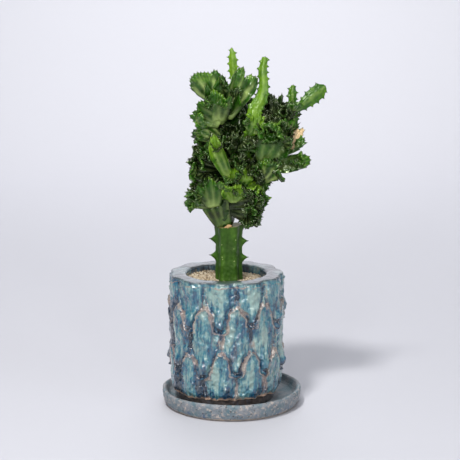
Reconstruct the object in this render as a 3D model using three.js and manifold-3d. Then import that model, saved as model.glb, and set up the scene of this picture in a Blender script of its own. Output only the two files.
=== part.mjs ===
// Potted crested euphorbia: a glazed pot standing in its saucer, filled with soil and topped
// with gravel, a thick thorny rootstock, and the folded crest grafted on it, with the plain
// shoots that grow back out of the crest. Millimetres, +Z up, front towards -Y, right towards
// +X. The origin is the middle of the saucer's underside.
import * as THREE from "three";
import { mergeVertices } from "three/addons/utils/BufferGeometryUtils.js";
import Module from "manifold-3d";

const wasm = await Module();
wasm.setup();

const { PI, abs, cos, hypot, max, min, round, sin, sqrt } = Math;
const rad = (degrees) => (degrees * PI) / 180;
const V = (x, y, z) => new THREE.Vector3(x, y, z);

// Driving dimensions ------------------------------------------------------------------------------

const GAP = 0.3; // left between neighbouring pieces
const LEAF_GAP = 0.45; // left where one folded piece passes another

const SAUCER = {
  overhang: 15.5, // beyond the pot's wall under the relief
  footInset: 8.5,
  height: 19.5,
  floor: 8,
  wall: 6.5,
  lip: 2.5,
};

const POT = {
  x: -6, // the pot stands a little left of the saucer's middle
  radius: 64, // wall under the relief
  height: 142,
  wall: 15, // thickness at the rim
  taper: 5, // how much narrower the inside is at the floor
  floor: 6,
  skirt: 11.5, // clear height of the glazed wall above the ground it stands on
  footInset: 10,
  footWidth: 10,
  footHeight: 10,
  drain: 8,
};

const SCALES = {
  around: 12,
  frontTurn: -6.5, // degrees from the front to the nearest scale of the top row
  firstTip: 0.37, // share of the wall's height, from the rim, where the top row's tips end
  rowPitch: 0.4,
  notch: 0.15, // how much higher the edge is between two tips
  relief: 3.2,
};

const FILL = { headroom: 8, gravel: 8.5, lump: 0.9, leftRise: 1.4 };

const STOCK = {
  x: -3, // middle of the rootstock
  radius: 14.6,
  ribs: 6,
  ribDepth: 1.1,
  buried: 42,
  clear: 60.5, // height standing out of the gravel
  toothReach: 7,
  toothHeight: 8,
  toothPitch: 18.5,
};

// The crest is laid out in a frame of its own, where the rootstock's middle and its cut top
// are at these places.
const CREST = { stockX: -3, graft: 202.8 };

// The crest's thick inner growth: [x, y, z, radius] along each limb.
const TRUNK_LIMBS = [
  [
    [-7, 2, 203.4, 8.5], [-7, 4, 224, 12], [0, 6, 260, 15], [8, 5, 300, 15], [10, 3, 334, 9],
    [10, 2, 346, 4],
  ],
  [[4, 6, 262, 8], [24, 4, 276, 11], [46, 2, 292, 10], [62, 2, 308, 5.5]],
  [[4, 5, 292, 8], [-8, 2, 314, 9], [-18, 0, 334, 5]],
  [[-4, 4, 232, 8], [-20, 3, 240, 8], [-30, 2, 256, 4.5]],
  [[-4, 4, 226, 7], [10, 2, 230, 7], [20, 0, 236, 4]],
];

// Thickness where a fan starts and near its rim, and the reach of its saw teeth.
const FAN = { root: 11, rim: 4.6, tooth: 2.2 };

// Each fan: where it starts, the way it grows (lean: degrees from upright, right positive;
// toward: degrees to the front; turn: degrees about its own length), its height, spread in
// degrees, neck half-width, folds and fold depth.
const FANS = [
  fan("fan_trunk", [-8, -1, 201], -16, 10, 0, 44, 64, 8.5, 3, 2.5, "deep"),
  fan("fan_crown_left", [-11, -12, 316], 22, 14, -6, 60, 68, 5, 3, 3.5, "deep"),
  fan("fan_crown_pale", [4, -14, 334], 20, 6, -22, 44, 40, 5, 2, 2.5, "pale"),
  fan("fan_brow", [-12, -12, 326], -14, 34, 0, 30, 84, 6, 5, 3.5, "deep"),
  fan("fan_top_left", [-17, -2, 338], -28, 8, 12, 33, 66, 5, 3, 3, "pale"),
  fan("fan_left_upper", [-10, -12, 314], -60, 18, 0, 32, 60, 5, 3, 3, "deep"),
  fan("fan_left_fold", [-14, -8, 302], -60, 24, 0, 25, 70, 5, 4, 3, "pale"),
  fan("fan_bright_left", [-2, -14, 258], -21, 22, 10, 43, 40, 4, 2, 2.5, "bright"),
  fan("fan_bright_lobe", [22, -18, 312], 34, 26, -10, 26, 96, 5, 5, 2, "bright"),
  fan("fan_glossy_right", [38, -8, 272], 12, 20, 0, 38, 84, 6, 4, 3, "green"),
  fan("fan_scarred_right", [50, -2, 284], 52, 6, 10, 32, 58, 5, 3, 3, "green"),
  fan("fan_paddle_low", [44, -4, 268], 76, 8, 0, 39, 28, 5, 2, 2.5, "deep"),
  fan("fan_streaked_low", [34, -10, 256], 24, 34, 0, 25, 88, 5, 4, 2.5, "pale"),
  fan("fan_under_right", [22, -4, 262], 128, 18, 0, 22, 80, 5, 4, 2.5, "dark"),
  fan("fan_centre_small", [8, -12, 248], 6, 34, 0, 25, 92, 5, 5, 2.5, "bright"),
  fan("fan_front_light", [3, -12, 232], 4, 36, 0, 25, 98, 5, 5, 2.5, "bright"),
  fan("fan_left_low", [-20, -8, 226], -8, 26, 0, 30, 84, 6, 5, 3, "green"),
  fan("fan_lobe_left", [-18, -4, 227], -86, 12, 0, 31, 34, 5, 2, 2, "bright"),
  fan("fan_edge_left", [-34, 0, 232], -32, 4, 0, 18, 32, 4, 1, 1.5, "bright"),
  fan("fan_knot_left", [-25, 2, 234], -38, 30, 0, 23, 110, 6, 7, 3.5, "dark"),
  fan("fan_right_low", [12, -8, 230], 30, 22, 0, 29, 74, 5, 4, 2.5, "green"),
  fan("fan_lobe_right", [12, -6, 228], 88, 14, 0, 27, 40, 5, 3, 2, "bright"),
  fan("fan_bottom", [7, -5, 227], 100, 38, 0, 28, 80, 6, 7, 3, "dark"),
  fan("fan_ruffle_left", [-12, -2, 268], -62, 30, 0, 34, 112, 7, 8, 4, "dark"),
  fan("fan_ruffle_left_up", [-12, 0, 292], -64, 18, 0, 27, 96, 6, 6, 3.5, "dark"),
  fan("fan_ruffle_centre", [2, -8, 280], -14, 52, 0, 34, 130, 7, 8, 4, "dark"),
  fan("fan_ruffle_low", [10, -8, 262], 26, 50, 0, 30, 110, 7, 7, 3.5, "dark"),
  fan("fan_spiny_right", [44, 2, 300], 2, 16, 0, 46, 76, 7, 7, 4.5, "dark"),
  fan("fan_spiny_front", [42, -4, 300], 6, 38, 0, 36, 90, 6, 7, 3.5, "dark"),
  fan("fan_back_low", [-4, 10, 228], -10, -42, 0, 44, 120, 8, 7, 4, "dark"),
  fan("fan_back_right", [20, 8, 264], 40, -38, 0, 42, 110, 8, 7, 4, "dark"),
  fan("fan_back_middle", [2, 12, 268], -16, -46, 0, 44, 120, 8, 7, 4, "dark"),
  fan("fan_back_high", [6, 8, 300], 6, -28, 0, 52, 100, 8, 6, 4, "deep"),
  fan("fan_back_left", [-10, 6, 290], -46, -30, 0, 35, 90, 7, 6, 4, "dark"),
  fan("fan_back_top_right", [46, 6, 290], 24, -30, 0, 40, 90, 7, 6, 3.5, "deep"),
];

// Plain shoots: [x, y, z, half width, half thickness] along the middle line, and the toothed
// ribs, in eighths of a turn from the right towards the front.
const SHOOTS = [
  {
    name: "shoot_tall",
    ribs: [0, 4, 6],
    tone: "bright",
    path: [
      [21, -8, 274, 4, 4], [19, -18, 296, 4, 3.6], [20, -22, 314, 6.5, 4], [29, -22, 336, 6.5, 4.4],
      [34, -18, 358, 6.4, 4.6], [36, -15, 376, 6.6, 4.6], [35.6, -14, 389, 2.2, 1.8],
    ],
  },
  {
    name: "shoot_thin",
    ribs: [0, 4, 6],
    tone: "bright",
    path: [
      [7, -4, 338, 4, 4], [5, -5, 356, 5, 4], [2, -5, 374, 5, 4], [1, -5, 388, 4.4, 3.6],
      [0, -5, 398, 1.4, 1.4],
    ],
  },
  {
    name: "shoot_right",
    ribs: [0, 4, 6],
    tone: "light",
    path: [
      [66, 0, 303, 4, 3.6], [68.5, -2, 316, 4.2, 3.6], [66.5, -3, 334, 4.6, 4], [66, -3, 350, 5, 3.6],
      [67, -3, 358, 2.4, 2],
    ],
  },
  {
    name: "shoot_paddle",
    ribs: [0, 4],
    tone: "light",
    path: [
      [68, -3, 331, 4, 3], [77, -4, 337, 6, 3.2], [88, -5, 346, 9, 3.4], [96, -5, 353, 8.5, 3],
      [101.5, -5, 357, 3, 1.6],
    ],
  },
];

const TOOTH_EVERY = 5.2; // along a shoot's ribs
const SHOOT_TOOTH = 1.9;

const TONES = {
  deep: 0x31501b,
  green: 0x3f6426,
  bright: 0x618034,
  light: 0x6f8a44,
  pale: 0x75905c,
  dark: 0x2c3c1c,
};

// Sizes that follow from the ones above.
const saucerRadius = POT.radius + SAUCER.overhang;
const bore = POT.radius - POT.wall;
const footOuter = POT.radius - POT.footInset;
const footInner = footOuter - POT.footWidth;
const potBase = SAUCER.floor + GAP;
const rimTop = potBase + POT.height;
const gravelTop = rimTop - FILL.headroom;
const gravelBase = gravelTop - FILL.gravel;
const soilBase = potBase + POT.footHeight + POT.floor + GAP;
const stockTop = gravelTop + STOCK.clear;
const crestShift = [STOCK.x - CREST.stockX, 0, stockTop - CREST.graft];

/** One crest fan's sizes under their names. */
function fan(name, start, lean, toward, turn, height, spread, neck, folds, depth, tone) {
  return { name, start, lean, toward, turn, height, spread, neck, folds, depth, tone };
}

// Building solids ---------------------------------------------------------------------------------

/** A closed geometry as a solid that faces out. */
function solidOf(geometry) {
  const triVerts = Uint32Array.from(geometry.index.array);
  const make = () => {
    const vertProperties = Float32Array.from(geometry.attributes.position.array);
    return new wasm.Manifold(new wasm.Mesh({ numProp: 3, vertProperties, triVerts }));
  };
  const made = make();
  if (made.volume() > 0) return made;
  for (let i = 0; i < triVerts.length; i += 3) {
    const kept = triVerts[i];
    triVerts[i] = triVerts[i + 1];
    triVerts[i + 1] = kept;
  }
  return make();
}

/** An indexed geometry from points and triangle corners. */
function geometryOf(points, index) {
  const made = new THREE.BufferGeometry().setFromPoints(points);
  made.setIndex(index);
  return made;
}

/** A solid turned about the upright axis from [radius, height] pairs that start and end on the axis. */
function turned(profile, segments, x = 0) {
  const made = new THREE.LatheGeometry(profile.map(([r, z]) => new THREE.Vector2(r, z)), segments);
  made.deleteAttribute("normal");
  made.deleteAttribute("uv");
  made.rotateX(PI / 2);
  made.translate(x, 0, 0);
  return solidOf(mergeVertices(made, 1e-3));
}

/** A solid through rings of points: capped at both ends, or joined end to end. */
function skinned(rings, joined = false) {
  const sides = rings[0].length;
  const points = rings.flat();
  const index = [];
  const bands = joined ? rings.length : rings.length - 1;
  for (let i = 0; i < bands; i++) {
    const low = i * sides;
    const high = ((i + 1) % rings.length) * sides;
    for (let j = 0; j < sides; j++) {
      const next = (j + 1) % sides;
      index.push(low + j, low + next, high + next, low + j, high + next, high + j);
    }
  }
  if (!joined) {
    for (const [ring, first] of [[rings[0], 0], [rings.at(-1), (rings.length - 1) * sides]]) {
      const middle = ring.reduce((sum, p) => sum.add(p), V(0, 0, 0)).divideScalar(sides);
      const hub = points.push(middle) - 1;
      for (let j = 0; j < sides; j++) {
        const next = (j + 1) % sides;
        if (first === 0) index.push(hub, first + next, first + j);
        else index.push(hub, first + j, first + next);
      }
    }
  }
  return solidOf(geometryOf(points, index));
}

/** The largest body of a cut solid, without the slivers a cut leaves. */
function largest(solid) {
  const bodies = solid.simplify(0.12).decompose();
  return bodies.reduce((best, body) => (body.volume() > best.volume() ? body : best));
}

// Pot and saucer ----------------------------------------------------------------------------------

/** How far the scales stand out at an angle from the front and a share of the way down the wall. */
function scaleRelief(angle, down) {
  const pitch = 360 / SCALES.around;
  for (let row = 0; ; row++) {
    const turns = (angle - SCALES.frontTurn) / pitch + (row % 2) / 2;
    const across = 2 * (turns - round(turns));
    const tip = SCALES.firstTip + row * SCALES.rowPitch;
    if (down > tip - SCALES.notch * abs(across) ** 1.6) continue;
    const run = min(1, max(0, 1 - (tip - down) / SCALES.rowPitch));
    return SCALES.relief * (0.25 + 0.75 * run) * (1 - 0.7 * across ** 2);
  }
}

function saucer() {
  const { height, floor, wall, lip } = SAUCER;
  const radius = saucerRadius;
  const foot = radius - SAUCER.footInset;
  return turned(
    [
      [0, 0], [foot, 0], [foot + 3, 2], [radius - 1, height * 0.55], [radius, height - lip],
      [radius - 1, height - 0.8], [radius - wall / 2, height], [radius - wall + 0.8, height - 1],
      [radius - wall - 0.5, height - lip - 1], [foot - 4, floor + 1.5], [foot - 8, floor], [0, floor],
    ],
    40,
  );
}

function pot() {
  const wallShares = [0.96, 0.84, 0.74, 0.68, 0.56, 0.42, 0.34, 0.28, 0.16, 0.04];
  const wallHeight = POT.height - POT.skirt;
  const plain = (r, z) => ({ r, z, relief: 0, down: 0 });
  const profile = [
    plain(footInner, 0),
    plain(footOuter, 0),
    plain(footOuter, POT.footHeight),
    { r: POT.radius - 2, z: POT.skirt, relief: 0.6, down: 1 },
    ...wallShares.map((down) => ({ r: POT.radius, z: POT.height - wallHeight * down, relief: 1, down })),
    { r: POT.radius - 1.5, z: POT.height, relief: 1, down: 0 },
    plain(bore + 2, POT.height),
    plain(bore, POT.height - 2),
    plain(bore - POT.taper, POT.footHeight + POT.floor),
    plain(POT.drain, POT.footHeight + POT.floor),
    plain(POT.drain, POT.footHeight),
    plain(footInner, POT.footHeight),
  ];
  const sides = SCALES.around * 4;
  const rings = profile.map(({ r, z, relief, down }) =>
    Array.from({ length: sides }, (_, i) => {
      const angle = (360 / sides) * i + SCALES.frontTurn;
      const out = r + relief * scaleRelief(angle, down);
      return V(POT.x + out * sin(rad(angle)), -out * cos(rad(angle)), potBase + z);
    }),
  );
  return skinned(rings, true);
}

/** Inside radius of the pot at a height of the shared frame. */
function boreAt(z) {
  const low = potBase + POT.footHeight + POT.floor;
  const share = (z - low) / (rimTop - 2 - low);
  return bore - POT.taper * (1 - min(1, max(0, share)));
}

function soil() {
  const top = gravelBase - GAP;
  const profile = [[0, soilBase], [boreAt(soilBase) - GAP, soilBase], [boreAt(top) - GAP, top], [0, top]];
  return turned(profile, 40, POT.x);
}

/** The gravel: a round layer whose top is lumpy and a little higher on the left. */
function gravel() {
  const sides = 40;
  const shares = [1, 0.86, 0.7, 0.54, 0.38, 0.2];
  const reach = boreAt(gravelBase) - GAP;
  const at = (share, i, z) => {
    const angle = (2 * PI * i) / sides;
    return V(POT.x + share * reach * cos(angle), share * reach * sin(angle), z);
  };
  const lumpy = (share, i) => {
    const lump = sin(2.4 * i + 7 * share) + 0.6 * sin(5.1 * i - 11 * share);
    const edge = share === 1 ? -1.2 : 0;
    return gravelTop + edge + FILL.lump * 0.6 * lump - FILL.leftRise * share * cos((2 * PI * i) / sides);
  };
  const ring = (share, height) => {
    return Array.from({ length: sides }, (_, i) => at(share, i, height(share, i)));
  };
  const flat = () => gravelBase;
  return skinned([ring(0.3, flat), ring(1, flat), ...shares.map((s) => ring(s, lumpy))]);
}

// Rootstock ---------------------------------------------------------------------------------------

/** A four-sided thorn-like tooth from a point on a rib, reaching along one direction. */
function thorn(root, reach, length, height, width) {
  const side = V(-reach.y, reach.x, 0).normalize();
  const back = root.clone().addScaledVector(reach, -5);
  const ring = [
    back.clone().setZ(root.z - height * 0.65),
    back.clone().addScaledVector(side, width / 2),
    back.clone().setZ(root.z + height * 0.35),
    back.clone().addScaledVector(side, -width / 2),
  ];
  const tip = root.clone().addScaledVector(reach, length);
  const points = [...ring, tip, back];
  const index = [];
  for (let i = 0; i < 4; i++) {
    const next = (i + 1) % 4;
    index.push(i, next, 4, next, i, 5);
  }
  return solidOf(geometryOf(points, index));
}

/** The ribbed rootstock, wider by the clearance, with its paired teeth and the top's corner. */
function rootstock(clearance = 0) {
  const bottom = gravelBase - STOCK.buried;
  const heights = [
    [0, 0.35], [0.06, 0.72], [0.16, 0.92], [0.3, 1], [0.44, 1.02], [0.5, 1], [0.58, 1],
    [0.66, 0.98], [0.74, 1], [0.82, 0.99], [0.9, 1.02], [0.96, 1.06], [1, 1.08],
  ];
  const length = stockTop - bottom;
  const sides = STOCK.ribs * 4;
  const rings = heights.map(([share, wide], step) =>
    Array.from({ length: sides }, (_, i) => {
      const angle = (2 * PI * i) / sides;
      const ribbed = STOCK.radius + STOCK.ribDepth * cos(STOCK.ribs * angle);
      const r = ribbed * wide + clearance;
      const slant = share === 1 ? 1.6 * cos(angle) : 0;
      const end = step === 0 ? -clearance : share === 1 ? clearance : 0;
      return V(STOCK.x + r * cos(angle), r * sin(angle), bottom + share * length + slant + end);
    }),
  );
  let made = skinned(rings);
  for (const way of [1, -1]) {
    for (const pair of [0, 1]) {
      const z = stockTop - (way > 0 ? 17.5 : 15) - pair * STOCK.toothPitch;
      const reach = V(way, 0, 0);
      const root = V(STOCK.x + way * (STOCK.radius - 1), 0, z);
      const tooth = thorn(root, reach, STOCK.toothReach + clearance, STOCK.toothHeight + clearance, 5);
      made = made.add(tooth);
    }
  }
  const corner = V(STOCK.x + STOCK.radius - 2, 0, stockTop - 1);
  return made.add(thorn(corner, V(0.98, 0, 0.2), 5 + clearance, 7 + clearance, 6));
}

// Crest -------------------------------------------------------------------------------------------

/** The three directions of a fan: along its growth, across it, and out of its face. */
function fanAxes({ lean, toward, turn }) {
  const a = rad(lean);
  const t = rad(toward);
  const along = V(sin(a) * cos(t), -sin(t), cos(a) * cos(t));
  const flat = V(cos(a), 0, -sin(a));
  const face = flat.clone().cross(along);
  const across = flat.clone().multiplyScalar(cos(rad(turn))).addScaledVector(face, sin(rad(turn)));
  return { along, across, out: across.clone().cross(along) };
}

/** A folded fan with a saw-toothed rim: narrow and thick at its start, wide and thinner at its rim. */
function fanSolid(spec, clearance = 0) {
  const { start, height, spread, neck, folds, depth } = spec;
  const { along, across, out } = fanAxes(spec);
  const columns = 2 * max(4, folds);
  const rows = [0, 0.12, 0.5, 0.88, 1];
  const last = rows.length - 1;
  const half = rad(spread / 2);
  const bend = PI * folds * 0.5;
  const middleAt = (i, j) => {
    const u = (2 * i) / columns - 1;
    const v = rows[j];
    const saw = j === last && i % 2 === 1 ? FAN.tooth : 0;
    const r = height * v * (1 + 0.07 * cos(2 * bend * u + start[2])) + saw;
    return V(...start)
      .addScaledVector(across, r * sin(u * half) + neck * u * (1 - v))
      .addScaledVector(along, r * cos(u * half))
      .addScaledVector(out, depth * v ** 1.5 * sin(bend * u + start[0]));
  };
  const halfThickness = (i, j) => {
    const u = (2 * i) / columns - 1;
    const v = rows[j];
    const rounded = v > 0.75 ? sqrt(1 - ((v - 0.75) / 0.25) ** 2) : 1;
    const width = height * v * half + neck * (1 - v);
    const slope = (depth * v ** 1.5 * bend * cos(bend * u + start[0])) / width;
    const body = (FAN.rim + (FAN.root - FAN.rim) * (1 - v) ** 2) * rounded * sqrt(1 - abs(u) ** 6);
    return (0.5 * body + clearance) * sqrt(1 + slope ** 2);
  };
  const points = [];
  const index = [];
  const sheet = [[], []];
  for (let j = 0; j <= last; j++) {
    for (let i = 0; i <= columns; i++) {
      const middle = middleAt(i, j);
      if (i === 0 || i === columns || j === 0 || j === last) {
        const inner = middleAt(min(columns - 1, max(1, i)), min(last - 1, max(1, j)));
        middle.addScaledVector(middle.clone().sub(inner).normalize(), 3 * clearance);
        const shared = points.push(middle) - 1;
        sheet.forEach((corners) => corners.push(shared));
        continue;
      }
      const thick = halfThickness(i, j);
      sheet[0].push(points.push(middle.clone().addScaledVector(out, thick)) - 1);
      sheet[1].push(points.push(middle.addScaledVector(out, -thick)) - 1);
    }
  }
  const stride = columns + 1;
  sheet.forEach((corners, side) => {
    for (let j = 0; j < last; j++) {
      for (let i = 0; i < columns; i++) {
        const a = corners[j * stride + i];
        const b = corners[j * stride + i + 1];
        const c = corners[(j + 1) * stride + i + 1];
        const d = corners[(j + 1) * stride + i];
        const rising = i < columns / 2 === j < rows.length / 2;
        const faces = rising ? [a, b, c, a, c, d] : [a, b, d, b, c, d];
        index.push(...(side === 0 ? faces : faces.reverse()));
      }
    }
  });
  return solidOf(geometryOf(points, index));
}

/** Points along a smooth path with the sizes it carries, its ends moved out by the clearance. */
function alongPath(path, steps, clearance) {
  const curve = new THREE.CatmullRomCurve3(path.map(([x, y, z]) => V(x, y, z)), false, "centripetal");
  const span = path.length - 1;
  return Array.from({ length: steps + 1 }, (_, i) => {
    const t = i / steps;
    const k = min(span - 1, Math.floor(t * span));
    const share = t * span - k;
    const sizes = path[k].slice(3).map((size, n) => size + (path[k + 1][n + 3] - size) * share);
    const way = curve.getTangent(t).normalize();
    const beyond = i === 0 ? -clearance : i === steps ? clearance : 0;
    return { at: curve.getPoint(t).addScaledVector(way, beyond), way, sizes };
  });
}

/** A round limb of the crest's inner growth. */
function limb(path, clearance) {
  const sides = 10;
  const rings = alongPath(path, 2 * (path.length - 1), clearance).map(({ at, way, sizes: [radius] }) => {
    const right = V(1, 0, 0).addScaledVector(way, -way.x).normalize();
    const ahead = way.clone().cross(right);
    return Array.from({ length: sides }, (_, i) => {
      const angle = (2 * PI * i) / sides;
      const r = radius + clearance;
      return at.clone().addScaledVector(right, r * cos(angle)).addScaledVector(ahead, r * sin(angle));
    });
  });
  return skinned(rings);
}

/** The fan that rises from the graft, joined to the limbs that carry every other fan. */
function crestTrunk(clearance = 0) {
  return TRUNK_LIMBS.reduce((made, path) => made.add(limb(path, clearance)), fanSolid(FANS[0], clearance));
}

/** A plain ribbed shoot with teeth along its ribs. */
function shootSolid({ path, ribs }, clearance = 0) {
  const rough = path.slice(1).reduce((sum, p, i) => sum + hypot(p[0] - path[i][0], p[2] - path[i][2]), 0);
  const steps = 2 * round(rough / TOOTH_EVERY / 1.6);
  const sides = 8;
  const rings = alongPath(path, steps, clearance).map(({ at, way, sizes: [wide, thick] }, step) => {
    const front = V(0, -1, 0).addScaledVector(way, way.y).normalize();
    const right = front.clone().cross(way).negate();
    const toothed = step > 1 && step < steps && (step % 2 === 1 || clearance > 0);
    return Array.from({ length: sides }, (_, i) => {
      const angle = (2 * PI * i) / sides;
      const onRib = ribs.includes(i);
      const out = (onRib ? 1 : 0.74) + (onRib && toothed ? SHOOT_TOOTH / wide : 0);
      return at
        .clone()
        .addScaledVector(right, (wide * out + clearance) * cos(angle))
        .addScaledVector(front, (thick * out + clearance) * sin(angle));
    });
  });
  return skinned(rings);
}

// Assembly ----------------------------------------------------------------------------------------

const potted = new THREE.Group();
potted.name = "potted_crested_euphorbia";

/** Adds one piece to the group under its own name and finish. */
function place(name, solid, colour, roughness, metalness = 0) {
  const shape = solid.getMesh();
  const made = new THREE.BufferGeometry();
  made.setAttribute("position", new THREE.BufferAttribute(Float32Array.from(shape.vertProperties), 3));
  made.setIndex(new THREE.BufferAttribute(Uint32Array.from(shape.triVerts), 1));
  const finish = new THREE.MeshStandardMaterial({ color: colour, roughness, metalness });
  const piece = new THREE.Mesh(made, finish);
  piece.name = name;
  potted.add(piece);
}

const stockBody = rootstock();
const stockRoom = rootstock(GAP);
place("saucer", saucer(), 0x8c8e90, 0.55);
place("pot", pot(), 0x5a7886, 0.22);
place("potting_soil", largest(soil().subtract(stockRoom)), 0x2c231b, 0.95);
place("gravel_dressing", largest(gravel().subtract(stockRoom)), 0xb3a797, 0.85);
place("rootstock", stockBody, 0x395626, 0.5);

// Every grown piece stands on the graft and keeps clear of the ones placed before it.
const taken = [stockRoom];
const grow = (name, solid, room, colour, roughness) => {
  const grown = solid.translate(crestShift);
  const kept = largest(taken.reduce((rest, other) => rest.subtract(other), grown));
  place(name, kept, colour, roughness);
  taken.push(room.translate(crestShift));
};

grow("crest_trunk", crestTrunk(), crestTrunk(LEAF_GAP), TONES.deep, 0.4);
for (const shoot of SHOOTS) {
  grow(shoot.name, shootSolid(shoot), shootSolid(shoot, LEAF_GAP), TONES[shoot.tone], 0.5);
}
for (const spec of FANS.slice(1)) {
  grow(spec.name, fanSolid(spec), fanSolid(spec, LEAF_GAP), TONES[spec.tone], 0.42);
}

export default potted;
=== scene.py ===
"""The looks of a potted crested euphorbia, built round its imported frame.

Metres in the shared frame: +Z up, the front towards -Y, the origin under the middle of the saucer. Shapes are
worked out in millimetres and turned into metres when a piece is made.
"""

import logging
import math
from dataclasses import dataclass
from enum import Enum

import bpy
import numpy as np
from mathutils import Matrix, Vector


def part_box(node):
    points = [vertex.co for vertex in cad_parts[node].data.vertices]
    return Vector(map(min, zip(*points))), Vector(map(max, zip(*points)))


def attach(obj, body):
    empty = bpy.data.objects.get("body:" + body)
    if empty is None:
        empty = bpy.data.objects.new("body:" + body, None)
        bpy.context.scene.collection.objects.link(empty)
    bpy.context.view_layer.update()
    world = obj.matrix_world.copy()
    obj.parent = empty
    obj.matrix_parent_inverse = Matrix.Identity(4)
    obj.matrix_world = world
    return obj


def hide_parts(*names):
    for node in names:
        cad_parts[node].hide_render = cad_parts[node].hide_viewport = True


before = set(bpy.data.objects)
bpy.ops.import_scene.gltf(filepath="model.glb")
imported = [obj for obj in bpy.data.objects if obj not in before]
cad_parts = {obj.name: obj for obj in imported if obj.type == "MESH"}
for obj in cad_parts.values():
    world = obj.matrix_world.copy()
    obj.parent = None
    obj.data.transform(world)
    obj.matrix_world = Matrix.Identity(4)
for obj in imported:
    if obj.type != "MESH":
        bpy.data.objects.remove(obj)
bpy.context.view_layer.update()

log = logging.getLogger("potted_euphorbia")
MM = 0.001
STOCK_X = -3.0  # the rootstock stands this far right of the saucer's middle, in mm
Array = np.ndarray
Colour = tuple[float, float, float]


def smooth(low: float, high: float, value: Array | float) -> Array:
    """A smooth step of value from 0 at low to 1 at high."""
    t = np.clip((value - low) / (high - low), 0.0, 1.0)
    return t * t * (3.0 - 2.0 * t)


def hump(value: Array, width: float) -> Array:
    """A bell curve that is 1 where the value is 0 and falls away over the width."""
    return np.exp(-((value / width) ** 2))


def round_angles(sides: int) -> Array:
    """Evenly spaced angles round a circle, in radians from 0."""
    return np.linspace(0, 2 * math.pi, sides, endpoint=False)


def angle_gap(angle: Array, degrees: float) -> Array:
    """How far angles in radians are from a direction in degrees, either way round."""
    return np.abs((angle - math.radians(degrees) + math.pi) % (2 * math.pi) - math.pi)


def unit(vectors: Array) -> Array:
    """The vectors scaled to length one."""
    return vectors / np.maximum(np.linalg.norm(vectors, axis=-1, keepdims=True), 1e-9)


def srgb(red: int, green: int, blue: int) -> Colour:
    """A display colour from 0 to 255 as the linear colour shaders take.

    Args:
        red: Red share.
        green: Green share.
        blue: Blue share.

    Returns:
        The colour in linear light.
    """
    return tuple(
        ((c / 255 + 0.055) / 1.055) ** 2.4 if c > 10 else c / 255 / 12.92 for c in (red, green, blue)
    )


def waves(points: Array, scale: float, seed: int, octaves: int = 3) -> Array:
    """A smooth lumpy value in -1..1 for each point.

    Args:
        points: Points in millimetres, one per row.
        scale: Length of the largest lumps in millimetres.
        seed: Picks the pattern.
        octaves: Layers of finer lumps.

    Returns:
        One value per point.
    """
    draw = np.random.default_rng(seed)
    total = np.zeros(points.shape[:-1])
    weight = 0.0
    for octave in range(octaves):
        size = scale / 1.9**octave
        share = 0.55**octave
        for _ in range(4):
            way = unit(draw.normal(size=3)) * (2 * math.pi / size) * draw.uniform(0.75, 1.3)
            total += share * np.sin(points @ way + draw.uniform(0, 2 * math.pi)) * 0.5
        weight += share
    return total / weight


# Shaders ------------------------------------------------------------------------------------------------


class Signal:
    """A shader socket that takes part in Python arithmetic."""

    def __init__(self, bench: "Bench", socket: bpy.types.NodeSocket) -> None:
        """Keeps the socket and the bench whose tree it is in."""
        self.bench = bench
        self.socket = socket

    def _maths(
        self, operation: str, first: "Signal | float", second: "Signal | float", clamp: bool = False
    ) -> "Signal":
        """Adds one Math node.

        Args:
            operation: The Math node's operation.
            first: Its first value.
            second: Its second value.
            clamp: Whether the result is kept in 0..1.

        Returns:
            The node's result.
        """
        settings = {"operation": operation, "use_clamp": clamp}
        return Signal(
            self.bench, self.bench.node("ShaderNodeMath", settings, {0: first, 1: second}).outputs[0]
        )

    def __add__(self, other: "Signal | float") -> "Signal":
        """The sum."""
        return self._maths("ADD", self, other)

    def __radd__(self, other: float) -> "Signal":
        """The sum, with the number first."""
        return self._maths("ADD", other, self)

    def __sub__(self, other: "Signal | float") -> "Signal":
        """The difference."""
        return self._maths("SUBTRACT", self, other)

    def __rsub__(self, other: float) -> "Signal":
        """The difference, with the number first."""
        return self._maths("SUBTRACT", other, self)

    def __mul__(self, other: "Signal | float") -> "Signal":
        """The product."""
        return self._maths("MULTIPLY", self, other)

    def clamped(self) -> "Signal":
        """The value kept in 0..1."""
        return self._maths("ADD", self, 0.0, clamp=True)

    def step(self, low: float, high: float) -> "Signal":
        """A smooth step of the value from 0 at low to 1 at high.

        Args:
            low: Value that gives nought.
            high: Value that gives one.

        Returns:
            The step as a signal.
        """
        settings = {"interpolation_type": "SMOOTHSTEP"}
        sockets = {"Value": self, "From Min": low, "From Max": high}
        return Signal(self.bench, self.bench.node("ShaderNodeMapRange", settings, sockets).outputs[0])


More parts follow.
